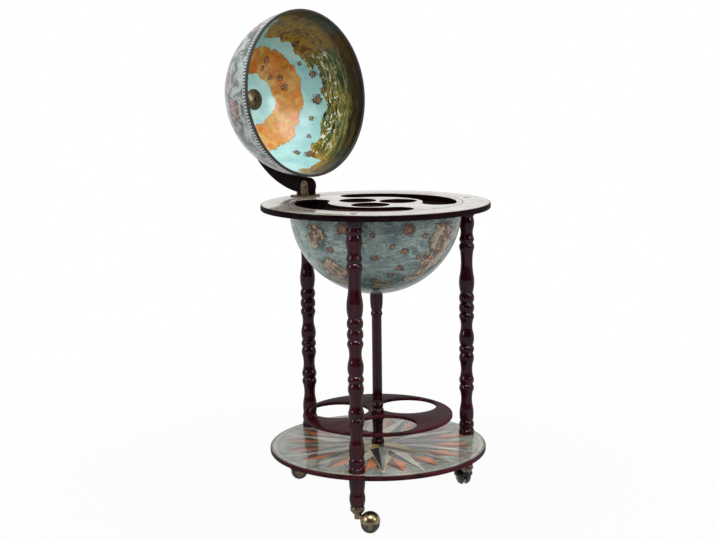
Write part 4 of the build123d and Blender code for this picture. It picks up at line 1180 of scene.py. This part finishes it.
black_edge = black_material("black_edge", 0.22)
EDGE_LIP = 0.6
edge_out, edge_in = GLOBE_R + EDGE_LIP, inner_r - EDGE_LIP
edging_points = outline(
    (edge_in + 1, 0), (edge_out - 1, 0, 0), (edge_out, 1, 0.3), (edge_out, EDGE_HEIGHT - 0.5, 0),
    (edge_out - 0.5, EDGE_HEIGHT, 0.1), (edge_in + 0.5, EDGE_HEIGHT, 0), (edge_in, EDGE_HEIGHT - 0.5, 0.1),
    (edge_in, 1, 0), (edge_in + 1, 0, 0.3))
edging_mesh = turned(edging_points[:-1], 192, closed=True)
set_lid_piece("edging", edging_mesh, [black_edge], "lid", "lid_edging")


# ---- pole boss, bolt, washer and finial --------------------------------------------
# The lid turns on a dark bolt through its pole: a brass dome covers the hole inside, a
# washer keeps the shell off the arm and a turned nut closes the bolt outside.
BOSS_R, BOSS_HEIGHT = 21.5, 8.0
boss_rim = sqrt(inner_r ** 2 - BOSS_R ** 2)
boss_points = outline(
    (0, inner_r - BOSS_HEIGHT), (BOSS_R - 2.2, boss_rim - 2.6, 1.2), (BOSS_R, boss_rim - 1.4, 0.3),
    (BOSS_R, boss_rim, 0.1)) + quarter(inner_r, 90 - degrees(BOSS_R / inner_r), 90, 12)
set_lid_piece("boss", turned(boss_points, 64), [old_brass], "lid", "lid_boss")

black_bolt = black_material("black_bolt", 0.3)
head_top = inner_r - BOSS_HEIGHT - 0.3
ARM_OUT = 200.0
bolt_points = outline(
    (0, head_top - 4.5), (3.7, head_top - 4.5, 0), (5.2, head_top - 3.0, 0.4), (5.2, head_top, 0),
    (4.0, head_top, 0), (4.0, ARM_OUT + 7.2, 0), (0, ARM_OUT + 7.2, 0))
set_lid_piece("bolt", turned(bolt_points, 48), [black_bolt], "lid_arm", "pole_bolt")

washer_points = outline(
    (4.0, GLOBE_R + 0.3), (11.6, GLOBE_R - 0.12, 0), (12.0, GLOBE_R + 0.2, 0.1), (12.0, GLOBE_R + 3.0, 0),
    (4.0, GLOBE_R + 3.0, 0))
washer_mesh = turned(washer_points, 48, closed=True)
set_lid_piece("washer", washer_mesh, [old_brass], "lid_arm", "pole_washer")

finial_steps = [(2.5, 9.0, 0), (2.0, 5.6, -0.5), (6.3, 6.5, 1.2), (5.4, 1.4, 1.0)]
finial_mesh = turned(stepped((9.0, ARM_OUT), finial_steps), 48)
set_lid_piece("finial", finial_mesh, [old_brass], "lid_arm", "pole_finial")


# ---- meridian arm ------------------------------------------------------------------
# A board of dark mahogany, 16 mm thick, cut to an arc and lacquered. It reaches from
# the hinge pin over the lid to just past its pole, and carries the lid.
ARM_IN, ARM_HALF, ARM_PAST, ARM_ROUND = 168.0, 8.0, 17.0, 2.0
SHUT_LID_MIDDLE_Z = 591.4
hinge_rise = PIVOT[2] - SHUT_LID_MIDDLE_Z
arm_start = degrees(atan2(hinge_rise, PIVOT[1]))
arm_mesh = bmesh.new()
arm_first = arm_mesh.verts.new(polar(ARM_OUT, arm_start))
corner = swept(arm_mesh, arm_first, (0, 0, 0), 90 - arm_start, 64)
arm_end = (ARM_OUT - ARM_IN) / 2
end_corner = arm_mesh.verts.new((MM * (arm_end - ARM_PAST), MM * ARM_OUT, 0))
arm_mesh.edges.new((corner, end_corner))
corner = swept(arm_mesh, end_corner, (MM * (arm_end - ARM_PAST), MM * (ARM_OUT + ARM_IN) / 2, 0), 180, 24)
pole_corner = arm_mesh.verts.new((0, MM * ARM_IN, 0))
arm_mesh.edges.new((corner, pole_corner))
corner = swept(arm_mesh, pole_corner, (0, 0, 0), arm_start - 90, 64)
swept(arm_mesh, corner, polar((ARM_OUT + ARM_IN) / 2, arm_start), 180, 24)
board(arm_mesh, -ARM_HALF, ARM_HALF, ARM_ROUND)
dark_mahogany_along = mahogany_material("dark_mahogany_along", (13, 6, 8), (24, 10, 13), 0.07)
placed(arm_mesh, FLAT_TO_UPRIGHT)
set_lid_piece("arm", arm_mesh, [dark_mahogany_along], "lid_arm", "lid_arm")


# ---- ball casters ------------------------------------------------------------------
# A brass cup on the foot's spigot, and under it a brass hood over two black half-ball
# wheels with domed brass caps. The stem stands in the foot, clear of the ball.
CASTER_TRAIL = 24.4
CASTER_TURNS = {"back": 136.0, "left": -66.0, "right": 54.0}
WHEEL_R, WHEEL_INNER, WHEEL_TREAD, WHEEL_OUTER, WHEEL_FACE_R = 17.0, 2.9, 4.5, 11.5, 13.2
HOOD_R, HOOD_WALL, HOOD_MIDDLE, HOOD_BOTTOM = 18.8, 1.2, 22.2, 21.0
NECK_R, NECK_LOW, NECK_HIGH = 6.3, 24.5, 33.2
WEB_HALF, WEB_WIDTH = 2.2, 14.0
LUG_HALF, LUG_TOP = 4.5, 32.4
CAP_R, CAP_RISE = 10.6, 3.2
black_wheel = black_material("black_wheel", 0.3)
worn_brass = brass_material("worn_brass", (116, 104, 86), (46, 40, 34), 0.2)
# Painted light and shade: the front caster's brass is a lighter copy, as it is lit, and the other two
# casters' a darker copy, as they stand in shade farther back under the shelf.
lit_brass = brass_material("lit_brass", (156, 140, 110), (96, 84, 62), 0.18)
shaded_brass = brass_material("shaded_brass", (60, 55, 50), (26, 24, 24), 0.3)
CASTER_SHADING = {"back": shaded_brass, "left": lit_brass, "right": shaded_brass}
FERRULE_POINTS = [
    (7.2, 33.5), (13.4, 41.0, 0.2), (13.4, 44.5, 0.2), (12.4, ferrule_top, 0.3), (SPIGOT_R, ferrule_top, 0),
    (SPIGOT_R, 41.0, 0), (5.5, 41.0, 0), (5.5, 33.5, 0)]
AXLE = (CASTER_TRAIL * MM, 0, WHEEL_R * MM)


def on_axle(points):
    """A piece turned about the wheels' axle, and its mirror image beyond the middle."""
    halves = []
    for side in (-90, 90):
        turn = Matrix.Rotation(radians(side), 4, "X")
        halves.append(placed(turned(points, 64), Matrix.Translation(AXLE) @ turn))
    return joined(halves)


for name, angle in LEG_ANGLES.items():
    leg_place = polar(LEG_PITCH_R, angle)
    caster_place = Matrix.Translation(leg_place) @ Matrix.Rotation(radians(CASTER_TURNS[name]), 4, "Z")
    cup = placed(turned(outline(*FERRULE_POINTS)[:-1], 64, closed=True), leg_place)
    cup = set_piece(f"cup_{name}", cup, [worn_brass], "frame", [f"caster_ferrule_{name}"])
    glinting.objects.link(cup)

    hood_in = HOOD_R - HOOD_WALL
    dome = placed(turned(
        quarter(HOOD_R, 90, 0, 24, HOOD_MIDDLE) + [(HOOD_R, HOOD_BOTTOM), (hood_in, HOOD_BOTTOM)]
        + quarter(hood_in, 0, 90, 24, HOOD_MIDDLE), 64), (CASTER_TRAIL * MM, 0, 0))
    neck = turned(outline(
        (0, NECK_LOW), (NECK_R - 0.8, NECK_LOW, 0), (NECK_R, NECK_LOW + 0.8, 0.2),
        (NECK_R, NECK_HIGH - 0.6, 0), (NECK_R - 0.6, NECK_HIGH, 0.15), (0, NECK_HIGH, 0)), 48)
    web = sharp_box(
        (CASTER_TRAIL - WEB_WIDTH / 2, -WEB_HALF, WHEEL_R - 6),
        (CASTER_TRAIL + WEB_WIDTH / 2, WEB_HALF, HOOD_MIDDLE + hood_in - 1.0), 0.4)
    lug = sharp_box(
        (-1.0, -LUG_HALF, NECK_LOW + 0.3), (CASTER_TRAIL - HOOD_R / 2 - 2.0, LUG_HALF, LUG_TOP), 1.4)
    hood = joined([dome, neck, lug, web])
    hood = set_piece(
        f"hood_{name}", placed(hood, caster_place), [CASTER_SHADING[name]], f"caster_{name}",
        [f"caster_hood_{name}"])
    glinting.objects.link(hood)

    wheels = on_axle(outline(
        (0, WHEEL_INNER), (WHEEL_R - 0.4, WHEEL_INNER, 0), (WHEEL_R, WHEEL_INNER + 0.4, 0.1),
        (WHEEL_R, WHEEL_TREAD, 0), (WHEEL_FACE_R, WHEEL_OUTER, 0.5), (0, WHEEL_OUTER, 0)))
    set_piece(
        f"wheels_{name}", placed(wheels, caster_place), [black_wheel], f"wheels_{name}",
        [f"caster_wheels_{name}"])
    cap_top = WHEEL_OUTER + CAP_RISE
    caps = on_axle(outline((0, WHEEL_OUTER), (CAP_R, WHEEL_OUTER, 0), (2.0, cap_top, 1.6), (0, cap_top, 0)))
    set_piece(
        f"caps_{name}", placed(caps, caster_place), [worn_brass], f"wheels_{name}",
        [f"caster_hub_caps_{name}"])


# ---- steel inside the joints -------------------------------------------------------
# Inserts, studs, screws, sleeves, stems and axles of plain zinc plated steel. They sit
# inside the wood and the casters, out of sight, and keep their simple shapes.
zinc, plating = new_material("zinc")
brushed = noise(plating, add_node(plating, "TexCoord").outputs["Object"], 1 / 500)
set_surface(plating, "BsdfPrincipled", {
    "Base Color": painted(plating, (168, 170, 172), (brushed, (200, 202, 204))), "Metallic": 1.0,
    "Roughness": brushed * 0.2 + 0.25})
STEEL_NODES = ["leg_inserts", "shelf_studs", "post_stud", "post_top_washer", "post_screws"]
for name in LEG_ANGLES:
    STEEL_NODES += [f"caster_sleeve_{name}", f"caster_stem_{name}", f"caster_axle_{name}"]
for node in STEEL_NODES:
    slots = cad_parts[node].data.materials
    for number in range(len(slots)):
        slots[number] = zinc
